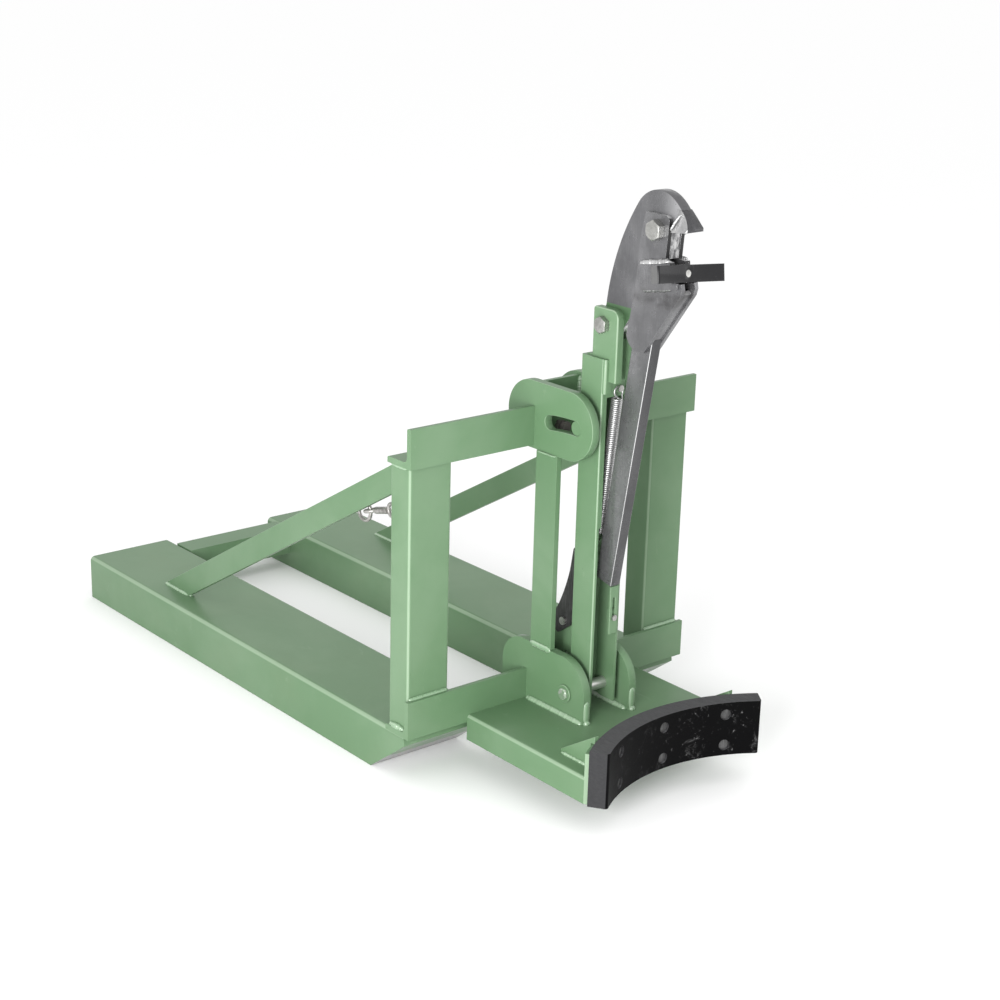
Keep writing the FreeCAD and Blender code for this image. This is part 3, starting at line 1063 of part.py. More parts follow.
doc.recompute()
for item in doc.Objects:
    if "Invalid" in item.State or "Error" in item.State:
        raise RuntimeError(f"{item.Label} failed: {item.State}")
total = 0
box_all = FreeCAD.BoundBox()
for item in nodes:
    shape = item.Shape
    if shape.isNull() or not shape.isValid() or not shape.Solids:
        raise RuntimeError(f"{item.Label} has no valid shape")
    shape.exportStep(f"parts/{item.Label}.step")
    box_all.add(shape.BoundBox)
    total += 1
print("nodes", total, "gate hinge along the hook", round(gate_start, 2), "hook length", round(far, 2))
print("box", [round(v, 3) for v in (box_all.XMin, box_all.XMax, box_all.YMin, box_all.YMax, box_all.ZMin, box_all.ZMax)])
print("datum", round(datum.value, 4))
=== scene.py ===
import math

import bmesh
import bpy
import numpy as np
from mathutils import Matrix, Vector


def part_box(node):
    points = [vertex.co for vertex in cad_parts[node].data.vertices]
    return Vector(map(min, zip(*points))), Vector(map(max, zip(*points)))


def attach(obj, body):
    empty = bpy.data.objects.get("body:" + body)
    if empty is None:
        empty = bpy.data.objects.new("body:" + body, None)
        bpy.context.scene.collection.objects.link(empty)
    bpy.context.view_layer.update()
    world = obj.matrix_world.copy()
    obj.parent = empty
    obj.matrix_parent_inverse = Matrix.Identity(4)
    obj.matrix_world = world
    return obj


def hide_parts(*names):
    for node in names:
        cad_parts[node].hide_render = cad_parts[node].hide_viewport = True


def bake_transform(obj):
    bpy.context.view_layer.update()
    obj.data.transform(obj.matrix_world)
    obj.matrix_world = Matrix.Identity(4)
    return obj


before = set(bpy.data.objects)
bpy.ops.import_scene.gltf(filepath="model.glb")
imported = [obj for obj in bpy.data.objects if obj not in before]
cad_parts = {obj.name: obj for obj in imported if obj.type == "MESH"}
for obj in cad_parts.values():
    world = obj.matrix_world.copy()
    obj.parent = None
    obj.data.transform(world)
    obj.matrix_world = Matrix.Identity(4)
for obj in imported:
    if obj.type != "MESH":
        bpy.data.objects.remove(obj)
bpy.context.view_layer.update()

MM = 0.001
# Shapes are worked out in mm. Y is counted, as on the part, from the front faces of the cross bars.
DATUM = round(-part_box("upper_bar_left")[0].y / MM, 4)
SHIFT = np.array([0.0, -DATUM, 0.0])
AHEAD = np.array([0.0, -1.0, 0.0])
BACK = np.array([0.0, 1.0, 0.0])
LEFT = np.array([-1.0, 0.0, 0.0])
RIGHT = np.array([1.0, 0.0, 0.0])
UP = np.array([0.0, 0.0, 1.0])
DOWN = np.array([0.0, 0.0, -1.0])


def corners(node):
    """Lowest and highest corner of a CAD piece in mm, to a micrometre."""
    return [np.round(np.array(corner, float) / MM - SHIFT, 3).tolist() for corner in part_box(node)]


def metres(point):
    """A place in metres, to a hundredth of a mm, from one in mm."""
    return tuple(np.round((np.array(point) + SHIFT) * MM, 5).tolist())


# Colours

def grey(level, blue=0.0):
    return (level, level, level + blue, 1.0)


RESEDA = (0.104, 0.190, 0.099, 1.0)
# A lighter green for the paint on welds, a painted highlight for their glints.
WELD_GLINT_RESEDA = (0.17, 0.285, 0.165, 1.0)
CHALKY_GREEN = (0.40, 0.48, 0.38, 1.0)
GRIMY_GREEN = (0.12, 0.17, 0.09, 1.0)
RUBBED_GREEN = (0.36, 0.44, 0.35, 1.0)
NICKED_GREEN = (0.07, 0.09, 0.06, 1.0)
# A painted highlight: the lighter green given to faces that turn at a corner.
EDGE_HIGHLIGHT_GREEN = (0.36, 0.46, 0.34, 1.0)
RUST = (0.30, 0.15, 0.08, 1.0)
STAIN = (0.05, 0.045, 0.04, 1.0)
UNDER_JAW_DARK = (0.03, 0.028, 0.028, 1.0)
BARE_PIN = (0.62, 0.62, 0.60, 1.0)
DARK_BOLT = (0.11, 0.10, 0.095, 1.0)


# Shader node groups

def new_group(name, inputs, outputs):
    """An empty node group with the named sockets; returns the tree, its input node and its output node."""
    tree = bpy.data.node_groups.new(name, "ShaderNodeTree")
    kinds = {"colour": "NodeSocketColor", "number": "NodeSocketFloat"}
    for way, sockets in (("INPUT", inputs), ("OUTPUT", outputs)):
        for label, kind in sockets:
            tree.interface.new_socket(label, in_out=way, socket_type=kinds[kind])
    return tree, tree.nodes.new("NodeGroupInput"), tree.nodes.new("NodeGroupOutput")


class Net:
    """Short words for the nodes of one tree."""

    def __init__(self, tree):
        self.tree = tree

    def link(self, value, socket):
        """Sets a socket to a number or a colour, or joins another socket to it."""
        if isinstance(value, (int, float, tuple)):
            socket.default_value = value
        else:
            self.tree.links.new(value, socket)

    def noise(self, where, scale, detail=3.0, rough=0.55, warp=0.0):
        node = self.tree.nodes.new("ShaderNodeTexNoise")
        self.link(where, node.inputs["Vector"])
        node.inputs["Scale"].default_value = scale
        node.inputs["Detail"].default_value = detail
        node.inputs["Roughness"].default_value = rough
        node.inputs["Distortion"].default_value = warp
        return node.outputs["Fac"]

    def cells(self, where, scale):
        node = self.tree.nodes.new("ShaderNodeTexVoronoi")
        self.link(where, node.inputs["Vector"])
        node.inputs["Scale"].default_value = scale
        return node.outputs["Distance"]

    def stretch(self, where, scale, turn=(0.0, 0.0, 0.0)):
        node = self.tree.nodes.new("ShaderNodeMapping")
        self.link(where, node.inputs["Vector"])
        node.inputs["Rotation"].default_value = turn
        node.inputs["Scale"].default_value = scale
        return node.outputs["Vector"]

    def math(self, what, one, two=0.0, clamp=False):
        node = self.tree.nodes.new("ShaderNodeMath")
        node.operation = what
        node.use_clamp = clamp
        self.link(one, node.inputs[0])
        self.link(two, node.inputs[1])
        return node.outputs[0]

    def times(self, one, two):
        return self.math("MULTIPLY", one, two)

    def plus(self, one, two, clamp=False):
        return self.math("ADD", one, two, clamp)

    def minus(self, one, two):
        return self.math("SUBTRACT", one, two)

    def greater(self, one, two):
        return self.math("MAXIMUM", one, two)

    def size(self, value):
        return self.math("ABSOLUTE", value)

    def step(self, value, low, high, to_low=0.0, to_high=1.0):
        """A smooth step from to_low at low to to_high at high; low may be the larger one."""
        node = self.tree.nodes.new("ShaderNodeMapRange")
        node.interpolation_type = "SMOOTHSTEP"
        self.link(value, node.inputs["Value"])
        node.inputs["From Min"].default_value = low
        node.inputs["From Max"].default_value = high
        node.inputs["To Min"].default_value = to_low
        node.inputs["To Max"].default_value = to_high
        return node.outputs["Result"]

    def above(self, value, level, soft):
        return self.step(value, level - soft, level + soft)

    def below(self, value, level, soft):
        return self.step(value, level + soft, level - soft)

    def mix(self, share, one, two):
        node = self.tree.nodes.new("ShaderNodeMix")
        node.data_type = "RGBA"
        self.link(share, node.inputs["Factor"])
        self.link(one, node.inputs["A"])
        self.link(two, node.inputs["B"])
        return node.outputs["Result"]

    def parts(self, vector):
        node = self.tree.nodes.new("ShaderNodeSeparateXYZ")
        self.link(vector, node.inputs[0])
        return node.outputs

    def place(self):
        return self.tree.nodes.new("ShaderNodeTexCoord").outputs["Object"]

    def facing(self):
        return self.tree.nodes.new("ShaderNodeTexCoord").outputs["Normal"]


# What each group takes and gives: a socket's name and its kind.
PAINT_GIVEN = [("Paint", "colour"), ("Cloud", "number"), ("Rubs", "number"), ("Gloss", "number")]
METAL_GIVEN = [("Light", "colour"), ("Dark", "colour"), ("Stain", "number"), ("Gloss", "number")]
SKIN = [("Color", "colour"), ("Roughness", "number"), ("Height", "number")]


def paint_group():
    """Sprayed paint: cloudy tone, a fine orange peel, a few dusty rubs and small dark nicks."""
    tree, given, out = new_group("sprayed_paint", PAINT_GIVEN, SKIN)
    n = Net(tree)
    paint, spot = given.outputs["Paint"], n.place()
    cloud = n.noise(spot, 4.5, 4.0, 0.6, 0.4)
    chalky = n.mix(given.outputs["Cloud"], paint, CHALKY_GREEN)
    clouded = n.mix(n.step(cloud, 0.3, 0.72), paint, chalky)
    near_floor = n.step(n.parts(spot)[2], 0.0, 0.45, 0.16, 0.0)
    grime = n.times(near_floor, n.step(n.noise(spot, 9.0, 5.0, 0.7), 0.42, 0.75))
    grimy = n.mix(grime, clouded, GRIMY_GREEN)
    rub_field = n.noise(n.stretch(spot, (1.0, 0.4, 0.35), (0.3, 0.5, 0.2)), 38.0, 6.0, 0.72, 0.8)
    rub = n.times(n.step(rub_field, 0.62, 0.78), given.outputs["Rubs"])
    rubbed = n.mix(rub, grimy, RUBBED_GREEN)
    nick = n.times(n.step(n.cells(spot, 60.0), 0.055, 0.03), n.step(n.noise(spot, 14.0, 2.0), 0.60, 0.70))
    n.link(n.mix(n.times(nick, 0.7), rubbed, NICKED_GREEN), out.inputs["Color"])
    rough = n.plus(given.outputs["Gloss"], n.times(n.minus(cloud, 0.5), 0.25))
    n.link(n.plus(rough, n.times(rub, 0.3), clamp=True), out.inputs["Roughness"])
    peel = n.noise(spot, 520.0, 2.0, 0.5)
    wave = n.noise(spot, 26.0, 2.0, 0.5)
    n.link(n.plus(n.times(peel, 0.25), wave), out.inputs["Height"])
    return tree


def metal_group():
    """Worked steel: mottled grey skin, drawn scratches along one way and darker handling marks."""
    tree, given, out = new_group("worked_metal", METAL_GIVEN, SKIN)
    n = Net(tree)
    spot = n.place()
    patch = n.noise(spot, 16.0, 6.0, 0.68, 0.6)
    fine = n.noise(spot, 150.0, 4.0, 0.7)
    tone = n.step(n.plus(patch, n.times(n.minus(fine, 0.5), 0.5)), 0.32, 0.70)
    lines = n.noise(n.stretch(spot, (1.0, 1.0, 0.05)), 700.0, 3.0, 0.6)
    stain = n.times(n.step(n.noise(spot, 30.0, 5.0, 0.7, 1.2), 0.60, 0.74), given.outputs["Stain"])
    mottled = n.mix(tone, given.outputs["Dark"], given.outputs["Light"])
    drawn = n.mix(n.step(lines, 0.45, 0.75, 0.0, 0.06), mottled, grey(0.75, 0.01))
    n.link(n.mix(stain, drawn, STAIN), out.inputs["Color"])
    rough = n.plus(given.outputs["Gloss"], n.times(n.minus(0.5, tone), 0.22))
    n.link(n.plus(rough, n.times(stain, 0.25), clamp=True), out.inputs["Roughness"])
    n.link(n.plus(n.times(fine, 0.5), n.times(lines, 0.10)), out.inputs["Height"])
    return tree


PAINT = paint_group()
METAL = metal_group()


# Materials

def finish_of(name, metallic=0.0, coat=0.0, specular=0.5):
    """A material with a Principled shader; returns it with its net and the shader's inputs."""
    material = bpy.data.materials.new(name)
    material.use_nodes = True
    shader = material.node_tree.nodes["Principled BSDF"].inputs
    shader["Metallic"].default_value = metallic
    shader["Coat Weight"].default_value = coat
    shader["Specular IOR Level"].default_value = specular
    return material, Net(material.node_tree), shader


def bump(n, height, depth, shader):
    """Feeds a height in metres times depth into the shader's normal."""
    node = n.tree.nodes.new("ShaderNodeBump")
    node.inputs["Strength"].default_value = 1.0
    node.inputs["Distance"].default_value = depth
    n.link(height, node.inputs["Height"])
    n.link(node.outputs["Normal"], shader["Normal"])


def from_group(n, tree, **values):
    """Places a node group, gives it its values and returns its outputs."""
    node = n.tree.nodes.new("ShaderNodeGroup")
    node.node_tree = tree
    for label, value in values.items():
        n.link(value, node.inputs[label])
    return node.outputs


def scraped_steel(n):
    """Where the downward faces near the floor are scraped bare, and the rusty steel that shows there."""
    spot = n.place()
    under = n.step(n.parts(n.facing())[2], -0.25, -0.55)
    low = n.step(n.parts(spot)[2], 0.036, 0.020)
    field = n.noise(n.stretch(spot, (0.5, 1.0, 1.0)), 45.0, 6.0, 0.7)
    torn = n.step(n.plus(field, n.times(low, 0.45)), 0.52, 0.66)
    rust = n.step(n.noise(spot, 22.0, 4.0, 0.6), 0.62, 0.72, 0.0, 0.7)
    grain = n.noise(n.stretch(spot, (1.0, 0.1, 1.0)), 260.0)
    return n.times(under, torn), n.mix(rust, n.mix(grain, grey(0.16), grey(0.55)), RUST)


def green_paint(name, color=RESEDA, rubs=0.22, gloss=0.36, scraped=False, coat_weight=0.04, specular=0.2):
    """Reseda green paint, lighter where a face turns at a corner: a painted highlight for the light that
    rounded edges catch.
    """
    material, n, shader = finish_of(name, 0.0, coat_weight, specular)
    shader["Coat Roughness"].default_value = 0.22
    coat = from_group(n, PAINT, Paint=color, Cloud=0.12, Rubs=rubs, Gloss=gloss)
    tone = coat["Color"]
    if scraped:
        bare, steel_tone = scraped_steel(n)
        tone = n.mix(bare, tone, steel_tone)
        n.link(n.times(bare, 0.7), shader["Metallic"])
    normal = n.parts(n.facing())
    # Faces that turn at a corner get a lighter green, a painted highlight.
    turned = n.greater(n.size(n.times(normal[0], normal[1])), n.size(n.times(normal[0], normal[2])))
    n.link(n.mix(n.step(turned, 0.28, 0.44, 0.0, 0.45), tone, EDGE_HIGHLIGHT_GREEN), shader["Base Color"])
    n.link(coat["Roughness"], shader["Roughness"])
    bump(n, coat["Height"], 0.00016, shader)
    return material


def steel(name, light, dark, stain, gloss, metallic, depth=0.00006, marks=None):
    """Grey steel; marks may change its colour by place and facing."""
    material, n, shader = finish_of(name, metallic)
    skin = from_group(n, METAL, Light=light, Dark=dark, Stain=stain, Gloss=gloss)
    tone = marks(n, n.place(), skin["Color"]) if marks else skin["Color"]
    n.link(tone, shader["Base Color"])
    n.link(skin["Roughness"], shader["Roughness"])
    bump(n, skin["Height"], depth, shader)
    return material


def painted_sheen(n, spot, tone, amount):
    """Painted sheen: soft light patches that stand in for highlights, longer than they are wide."""
    patch = n.noise(n.stretch(spot, (1.0, 1.0, 0.45)), 15.0, 2.0, 0.45, 0.5)
    return n.mix(n.step(patch, 0.42, 0.66, 0.0, amount), tone, grey(0.42, 0.01))


# Heights on the beak and on the lever where a mark ends, in metres.
MOUTH_ROOF = 0.917
BEAK_PAINT_TOP = 0.788
SHADED_FRONT_TOP = 0.795
JAW_TOP = 0.867
UNDER_JAW_FOOT, UNDER_JAW_TOP = 0.792, 0.834


def beak_marks(n, spot, tone):
    """A bright-worn edge in the mouth, painted sheen, a painted reflection on the flank behind the nose, and
    green-painted flanks at the foot.
    """
    tone = painted_sheen(n, spot, tone, 0.22)
    normal, where = n.parts(n.facing()), n.parts(spot)
    ahead = n.times(n.step(normal[1], -0.35, -0.8), n.below(where[2], MOUTH_ROOF, 0.0005))
    blot = n.step(n.noise(n.stretch(spot, (1.0, 1.0, 0.55)), 110.0, 5.0, 0.7, 0.8), 0.36, 0.60)
    flank = n.step(n.size(normal[0]), 0.5, 0.8)
    # The flank behind the nose is lighter: a painted reflection.
    nose = n.times(n.step(where[1], -0.575, -0.640), n.step(where[2], 0.885, 0.955))
    tone = n.mix(n.times(n.times(nose, flank), 0.75), tone, grey(0.50, 0.01))
    tone = n.mix(n.times(ahead, blot), tone, grey(0.60))
    return n.mix(n.times(flank, n.below(where[2], BEAK_PAINT_TOP, 0.0005)), tone, RESEDA)


def toe_marks(n, spot, tone):
    """The toe's left-facing faces are lighter, with a grain; the rest stays dark."""
    flank = n.step(n.parts(n.facing())[0], -0.35, -0.60)
    grain = n.noise(n.stretch(spot, (1.0, 1.0, 0.5)), 90.0, 4.0, 0.6)
    return n.mix(flank, tone, n.mix(grain, grey(0.14, 0.005), grey(0.50)))


def darkened_under_jaw(n, spot, tone):
    """A darker, smeared band on the lever under the jaw."""
    level = n.parts(spot)[2]
    band = n.times(n.step(level, UNDER_JAW_FOOT, UNDER_JAW_FOOT + 0.022), n.step(level, UNDER_JAW_TOP, UNDER_JAW_TOP - 0.012))
    smear = n.step(n.noise(n.stretch(spot, (1.0, 0.6, 1.0)), 34.0, 4.0, 0.6, 0.8), 0.36, 0.70)
    return n.mix(n.times(n.times(band, smear), 0.7), tone, UNDER_JAW_DARK)


def lever_marks(n, spot, tone):
    """A darker band under the jaw, painted sheen, painted shade on the front faces below the jaw and on the
    front edges above it, and painted highlights on the corners and the tops.
    """
    tone = painted_sheen(n, spot, darkened_under_jaw(n, spot, tone), 0.24)
    normal, where = n.parts(n.facing()), n.parts(spot)
    # Front faces below the jaw are darker: painted shade.
    front = n.times(n.step(normal[1], -0.85, -0.94), n.below(where[2], SHADED_FRONT_TOP, 0.005))
    tone = n.mix(n.times(front, 0.75), tone, grey(0.05, 0.002))
    # Corners between side and front are lighter: a painted highlight.
    tone = n.mix(n.step(n.times(normal[0], normal[1]), 0.30, 0.46, 0.0, 0.8), tone, grey(0.55))
    # Front edges above the jaw are near black: painted shade in the gaps beside the beak.
    edge = n.times(n.step(normal[1], -0.80, -0.92), n.above(where[2], JAW_TOP, 0.005))
    tone = n.mix(n.times(edge, 0.85), tone, grey(0.02))
    # Top faces are lighter: a painted highlight.
    top = n.times(n.step(normal[2], 0.5, 0.8), n.step(n.noise(spot, 120.0, 4.0), 0.35, 0.55, 0.3, 0.9))
    return n.mix(top, tone, grey(0.75))


def black_enamel():
    """Gloss black with fine scuffs, and a lighter grey on the end faces, a painted highlight."""
    material, n, shader = finish_of("gloss_black_enamel", 0.0, 0.12, 0.22)
    shader["Coat Roughness"].default_value = 0.10
    spot = n.place()
    scuff = n.step(n.noise(n.stretch(spot, (1.0, 1.0, 0.4)), 130.0, 5.0, 0.7, 0.5), 0.60, 0.74)
    tone = n.mix(n.times(scuff, 0.35), grey(0.012, 0.001), grey(0.10))
    # The end faces are painted lighter: a painted highlight.
    lit_ends = n.step(n.size(n.parts(n.facing())[0]), 0.9, 0.97)
    n.link(n.mix(lit_ends, tone, grey(0.10)), shader["Base Color"])
    n.link(n.plus(n.times(scuff, 0.3), 0.22), shader["Roughness"])
    bump(n, n.noise(spot, 300.0, 3.0), 0.00008, shader)
    return material


def pad_rubber():
    """Black rubber: dusty on its drum face, most of all to the right, and greyer and sawn on its edges."""
    material, n, shader = finish_of("black_rubber", 0.0, 0.0, 0.04)
    spot, normal = n.place(), n.parts(n.facing())
    upper_edge = n.step(n.size(normal[2]), 0.4, 0.8)
    end = n.size(normal[0])
    edge = n.greater(upper_edge, n.step(end, 0.58, 0.70))
    saw = n.noise(n.stretch(spot, (1.0, 0.25, 1.0), (0.0, 0.0, 0.5)), 300.0, 4.0, 0.65)
    sawn = n.mix(saw, grey(0.045, 0.002), grey(0.095, 0.003))
    sawn = n.mix(n.step(end, 0.58, 0.70, 0.0, 0.6), sawn, grey(0.015, 0.001))
    side = n.step(n.parts(spot)[0], -0.12, 0.10, 0.15, 1.0)
    dust_field = n.noise(spot, 22.0, 8.0, 0.80, 0.9)
    dust = n.times(n.step(dust_field, 0.56, 0.76), side)
    speck = n.times(n.step(n.noise(spot, 130.0, 3.0, 0.7), 0.60, 0.74), n.step(dust_field, 0.46, 0.64))
    dusty = n.plus(n.times(dust, 0.34), n.times(n.times(speck, side), 0.6), clamp=True)
    front = n.mix(dusty, grey(0.0022, 0.0002), grey(0.32))
    n.link(n.mix(edge, front, sawn), shader["Base Color"])
    n.link(n.plus(n.times(edge, 0.2), n.plus(n.times(dust, 0.2), 0.5)), shader["Roughness"])
    bump(n, n.plus(n.noise(spot, 240.0, 4.0, 0.6), n.times(n.times(saw, edge), 2.0)), 0.00022, shader)
    return material


# Half lengths on the hinge pin in metres: bare between the mast's legs, rubbed and with a painted glint on
# the heads' faces.
PIN_BARE_HALF = 0.0241
PIN_HEAD_FACE = 0.06245
# Front and rear of the tie plate between the guide plates, in mm.
TIE_FRONT, TIE_REAR = 6.0, 14.0


def pin_finish():
    """Green heads with lighter patches on their end faces, part rubbed and part a painted glint, and bare
    steel between the mast's legs.
    """
    material = green_paint("reseda_green_paint_with_bare_pin")
    n, shader = Net(material.node_tree), material.node_tree.nodes["Principled BSDF"].inputs
    across = n.size(n.parts(n.place())[0])
    # The heads' end faces are lighter in patches: part rubbed bare, part a painted glint.
    worn = n.step(n.noise(n.place(), 160.0, 3.0), 0.45, 0.6, 0.1, 0.7)
    head_face = n.above(across, PIN_HEAD_FACE, 0.00005)
    bare = n.greater(n.below(across, PIN_BARE_HALF, 0.0001), n.times(head_face, worn))
    painted = shader["Base Color"].links[0].from_socket
    n.link(n.mix(bare, painted, BARE_PIN), shader["Base Color"])
    n.link(n.times(bare, 0.85), shader["Metallic"])
    return material


def tie_finish():
    """Green paint on the plate, and dark bare steel on the bolt that stands out of both its faces."""
    material = green_paint("reseda_green_paint_with_dark_bolt")
    n, shader = Net(material.node_tree), material.node_tree.nodes["Principled BSDF"].inputs
    along = n.parts(n.place())[1]
    front, rear = (metres((0.0, face, 0.0))[1] for face in (TIE_FRONT, TIE_REAR))
    clear = 0.0002
    bolt = n.greater(n.below(along, front - clear, 0.00005), n.above(along, rear + clear, 0.00005))
    painted = shader["Base Color"].links[0].from_socket
    n.link(n.mix(bolt, painted, DARK_BOLT), shader["Base Color"])
    return material


FRAME_GREEN = green_paint("reseda_green_paint")
SLEEVE_GREEN = green_paint("reseda_green_paint_scraped", rubs=0.26, scraped=True)
# On welds the paint's colour is lighter, a painted highlight for the glints on the beads, under a strong
# coat.
WELD_GREEN = green_paint("reseda_green_paint_on_welds", color=WELD_GLINT_RESEDA, rubs=0.35, gloss=0.26,
                         coat_weight=0.8, specular=0.5)
BEAK_STEEL = steel("beak_steel", light=grey(0.13, 0.005), dark=grey(0.10, 0.005), stain=0.08, gloss=0.34,
                   metallic=0.7, marks=beak_marks)
TOE_STEEL = steel("toe_steel", light=grey(0.075, 0.005), dark=grey(0.045, 0.002), stain=0.2, gloss=0.32,
                  metallic=0.6, marks=toe_marks)
LEVER_STEEL = steel("lever_steel", light=grey(0.165, 0.005), dark=grey(0.12, 0.005), stain=0.08, gloss=0.30,
                    metallic=0.7, marks=lever_marks)
WELD_STEEL = steel("weld_steel", light=grey(0.72), dark=grey(0.45), stain=0.2, gloss=0.28, metallic=0.8,
                   depth=0.0002)
GREY_WELD = steel("grey_weld_steel", light=grey(0.24), dark=grey(0.12), stain=0.3, gloss=0.36, metallic=0.7,
                  depth=0.0002)
ZINC = steel("zinc_plate", light=grey(0.50, -0.02), dark=grey(0.28, -0.015), stain=0.25, gloss=0.30,
             metallic=0.9)
DULL_ZINC = steel("dull_zinc", light=(0.50, 0.49, 0.47, 1.0), dark=(0.22, 0.21, 0.20, 1.0), stain=0.6,
                  gloss=0.42, metallic=0.8)
WIRE = steel("spring_wire", light=grey(0.62), dark=grey(0.46), stain=0.15, gloss=0.28, metallic=0.8)
DARK_STEEL = steel("dusty_black_steel", light=grey(0.07), dark=grey(0.03), stain=0.3, gloss=0.6,
                   metallic=0.1)
ENAMEL = black_enamel()
BLACK_PAINT = steel("black_paint", light=grey(0.022), dark=grey(0.012), stain=0.2, gloss=0.45,
                    metallic=0.0)
RUBBER = pad_rubber()
TIE_PAINT = tie_finish()
PIN_PAINT = pin_finish()

# Every piece that isn't named here is painted green.
FINISHES = (
    (SLEEVE_GREEN, ["left_fork_sleeve", "right_fork_sleeve"]),
    (BEAK_STEEL, ["beak_plate"]),
    (TOE_STEEL, ["beak_toe"]),
    (LEVER_STEEL, ["lever_left_plate", "lever_right_plate", "lever_web", "counter_bar"]),
    (LEVER_STEEL, ["jaw_block", "jaw_cheeks"]),
    (ENAMEL, ["jaw_bar"]),
    (RUBBER, ["belly_pad"]),
    (DARK_STEEL, ["pad_bolts"]),
    (DULL_ZINC, ["hook_ring", "snap_hook", "snap_gate"]),
    (ZINC, ["head_bolt", "head_nut", "jaw_bolt", "jaw_nut", "pad_nuts", "hinge_pin_ring"]),
    (ZINC, ["jaw_screw", "clamp_screw", "stop_screw", "spring_screw"]),
    (TIE_PAINT, ["guide_tie"]),
    (PIN_PAINT, ["hinge_pin"]),
    (BLACK_PAINT, ["clamp_lever"]),
)
NODE_FINISH = {node_name: material for material, nodes in FINISHES for node_name in nodes}

# Width in mm of the rounded edge that catches the light.
GREEN_EDGE = 0.9
SOFT_EDGES = dict.fromkeys([
    "left_guide_plate", "right_guide_plate", "left_ear_plate", "right_ear_plate",
    "upper_bar_left", "upper_bar_right", "lower_bar_left", "lower_bar_right",
    "left_brace", "right_brace", "rear_flats", "guide_tie", "backing_gussets",
    "mast_channel", "mast_slider", "guide_lips", "stop_plate"], GREEN_EDGE)
SOFT_EDGES.update({
    "counter_bar": 1.5, "lever_left_plate": 0.9, "lever_right_plate": 0.9, "lever_web": 0.7,
    "beak_plate": 0.8, "beak_toe": 0.8, "jaw_bar": 1.6, "jaw_block": 0.8, "jaw_cheeks": 0.7})


def soften(item, width):
    """Joins a CAD piece's loose faces and rounds its sharp edges."""
    seam = item.modifiers.new("joined_faces", "WELD")
    seam.merge_threshold = 0.01 * MM
    edge = item.modifiers.new("soft_edges", "BEVEL")
    edge.width = width * MM
    edge.segments = 2
    edge.limit_method = "ANGLE"
    edge.angle_limit = math.radians(40)
    edge.harden_normals = True


for node_name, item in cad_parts.items():
    item.data.materials.clear()
    item.data.materials.append(NODE_FINISH.get(node_name, FRAME_GREEN))
    if node_name in SOFT_EDGES:
        soften(item, SOFT_EDGES[node_name])


# Surfaces worked out as arrays

def mesh_piece(name, grids, body, material, smooth=True):
    """One mesh from grids of points in mm: row i follows a path and column j goes round the profile.

    The last column joins the first, and the first and last row are closed with one face each. body is None
    for a piece that is put on no body."""
    points, faces, base = [], [], 0
    for grid in grids:
        rows, columns = grid.shape[:2]
        number = base + np.arange(rows * columns).reshape(rows, columns)
        following = np.roll(number, -1, axis=1)
        quads = np.stack([number[:-1], following[:-1], following[1:], number[1:]], -1)
        faces += quads.reshape(-1, 4).tolist() + [number[0, ::-1].tolist(), number[-1].tolist()]
        points.append((grid.reshape(-1, 3) + SHIFT) * MM)
        base += rows * columns
    mesh = bpy.data.meshes.new(name)
    mesh.from_pydata(np.concatenate(points).tolist(), [], faces)
    mesh.validate()
    mesh.materials.append(material)
    mesh.polygons.foreach_set("use_smooth", np.full(len(mesh.polygons), smooth))
    piece = bpy.data.objects.new(name, mesh)
    bpy.context.scene.collection.objects.link(piece)
    turn_outwards(mesh)
    if body:
        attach(piece, body)
    return piece


def turn_outwards(mesh):
    """Turns every face outwards."""
    work = bmesh.new()
    work.from_mesh(mesh)
    bmesh.ops.recalc_face_normals(work, faces=work.faces)
    work.to_mesh(mesh)
    work.free()


def unit(vector):
    return vector / np.linalg.norm(vector, axis=-1, keepdims=True)


chance = np.random.default_rng(41)
# The steps of a weld bead's profile, from one plate to the other.
PROFILE = np.linspace(0.0, 1.0, 9)
# In mm: between a bead's rings, a ripple's length, the waves of its slow wander, its root in the plates.
RING_STEP = 0.8
RIPPLE_PITCH = 4.0
WANDER_WAVES = (7.0, 11.0, 17.0, 29.0)
ROOT = 0.4
THREAD_PITCH = 2.0


def bead(points, one, other, size, bulge=0.25, rough=0.09):
    """A weld bead laid along a line of points (mm), between the directions one and other.

    point(s, t) = line(s) + size(s, t) * ((1 - t) * one + t * other + bulge * sin(pi t) * out), where out
    halves the two directions; size swells and shrinks with scale-like ripples and a slow wander, and rounds
    off at the ends."""
    points = np.array(points, float)
    run = np.concatenate([[0.0], np.cumsum(np.linalg.norm(np.diff(points, axis=0), axis=1))])
    length = run[-1]
    s = np.linspace(0.0, length, max(int(length / RING_STEP), 12))
    line = np.stack([np.interp(s, run, points[:, k]) for k in range(3)], -1)
    t = PROFILE
    total = one + other
    out = unit(total) if np.linalg.norm(total) > 0.1 else unit(np.cross(points[-1] - points[0], one))
    phase = chance.uniform(0, math.tau, 6)
    wander = sum(np.sin(s / wave * math.tau + phase[k]) for k, wave in enumerate(WANDER_WAVES)) / 4
    ripple = np.abs(np.sin(math.pi * (s[:, None] / RIPPLE_PITCH + 0.30 * np.sin(math.pi * t)) + phase[4]))
    blunt = max(length / size / 1.6, 2.0)
    ends = np.sqrt(np.clip(1 - np.abs(2 * s / length - 1) ** blunt, 0, 1))
    swell = 1 + rough * (ripple - 0.6) + rough * 1.2 * wander[:, None]
    scale = size * np.maximum(ends, 0.05)[:, None] * swell
    fan = (1 - t)[:, None] * one + t[:, None] * other + bulge * np.sin(math.pi * t)[:, None] * out
    skin = line[:, None, :] + scale[:, :, None] * fan
    root = (line - ROOT * out)[:, None, :]
    return np.concatenate([root, skin], axis=1)


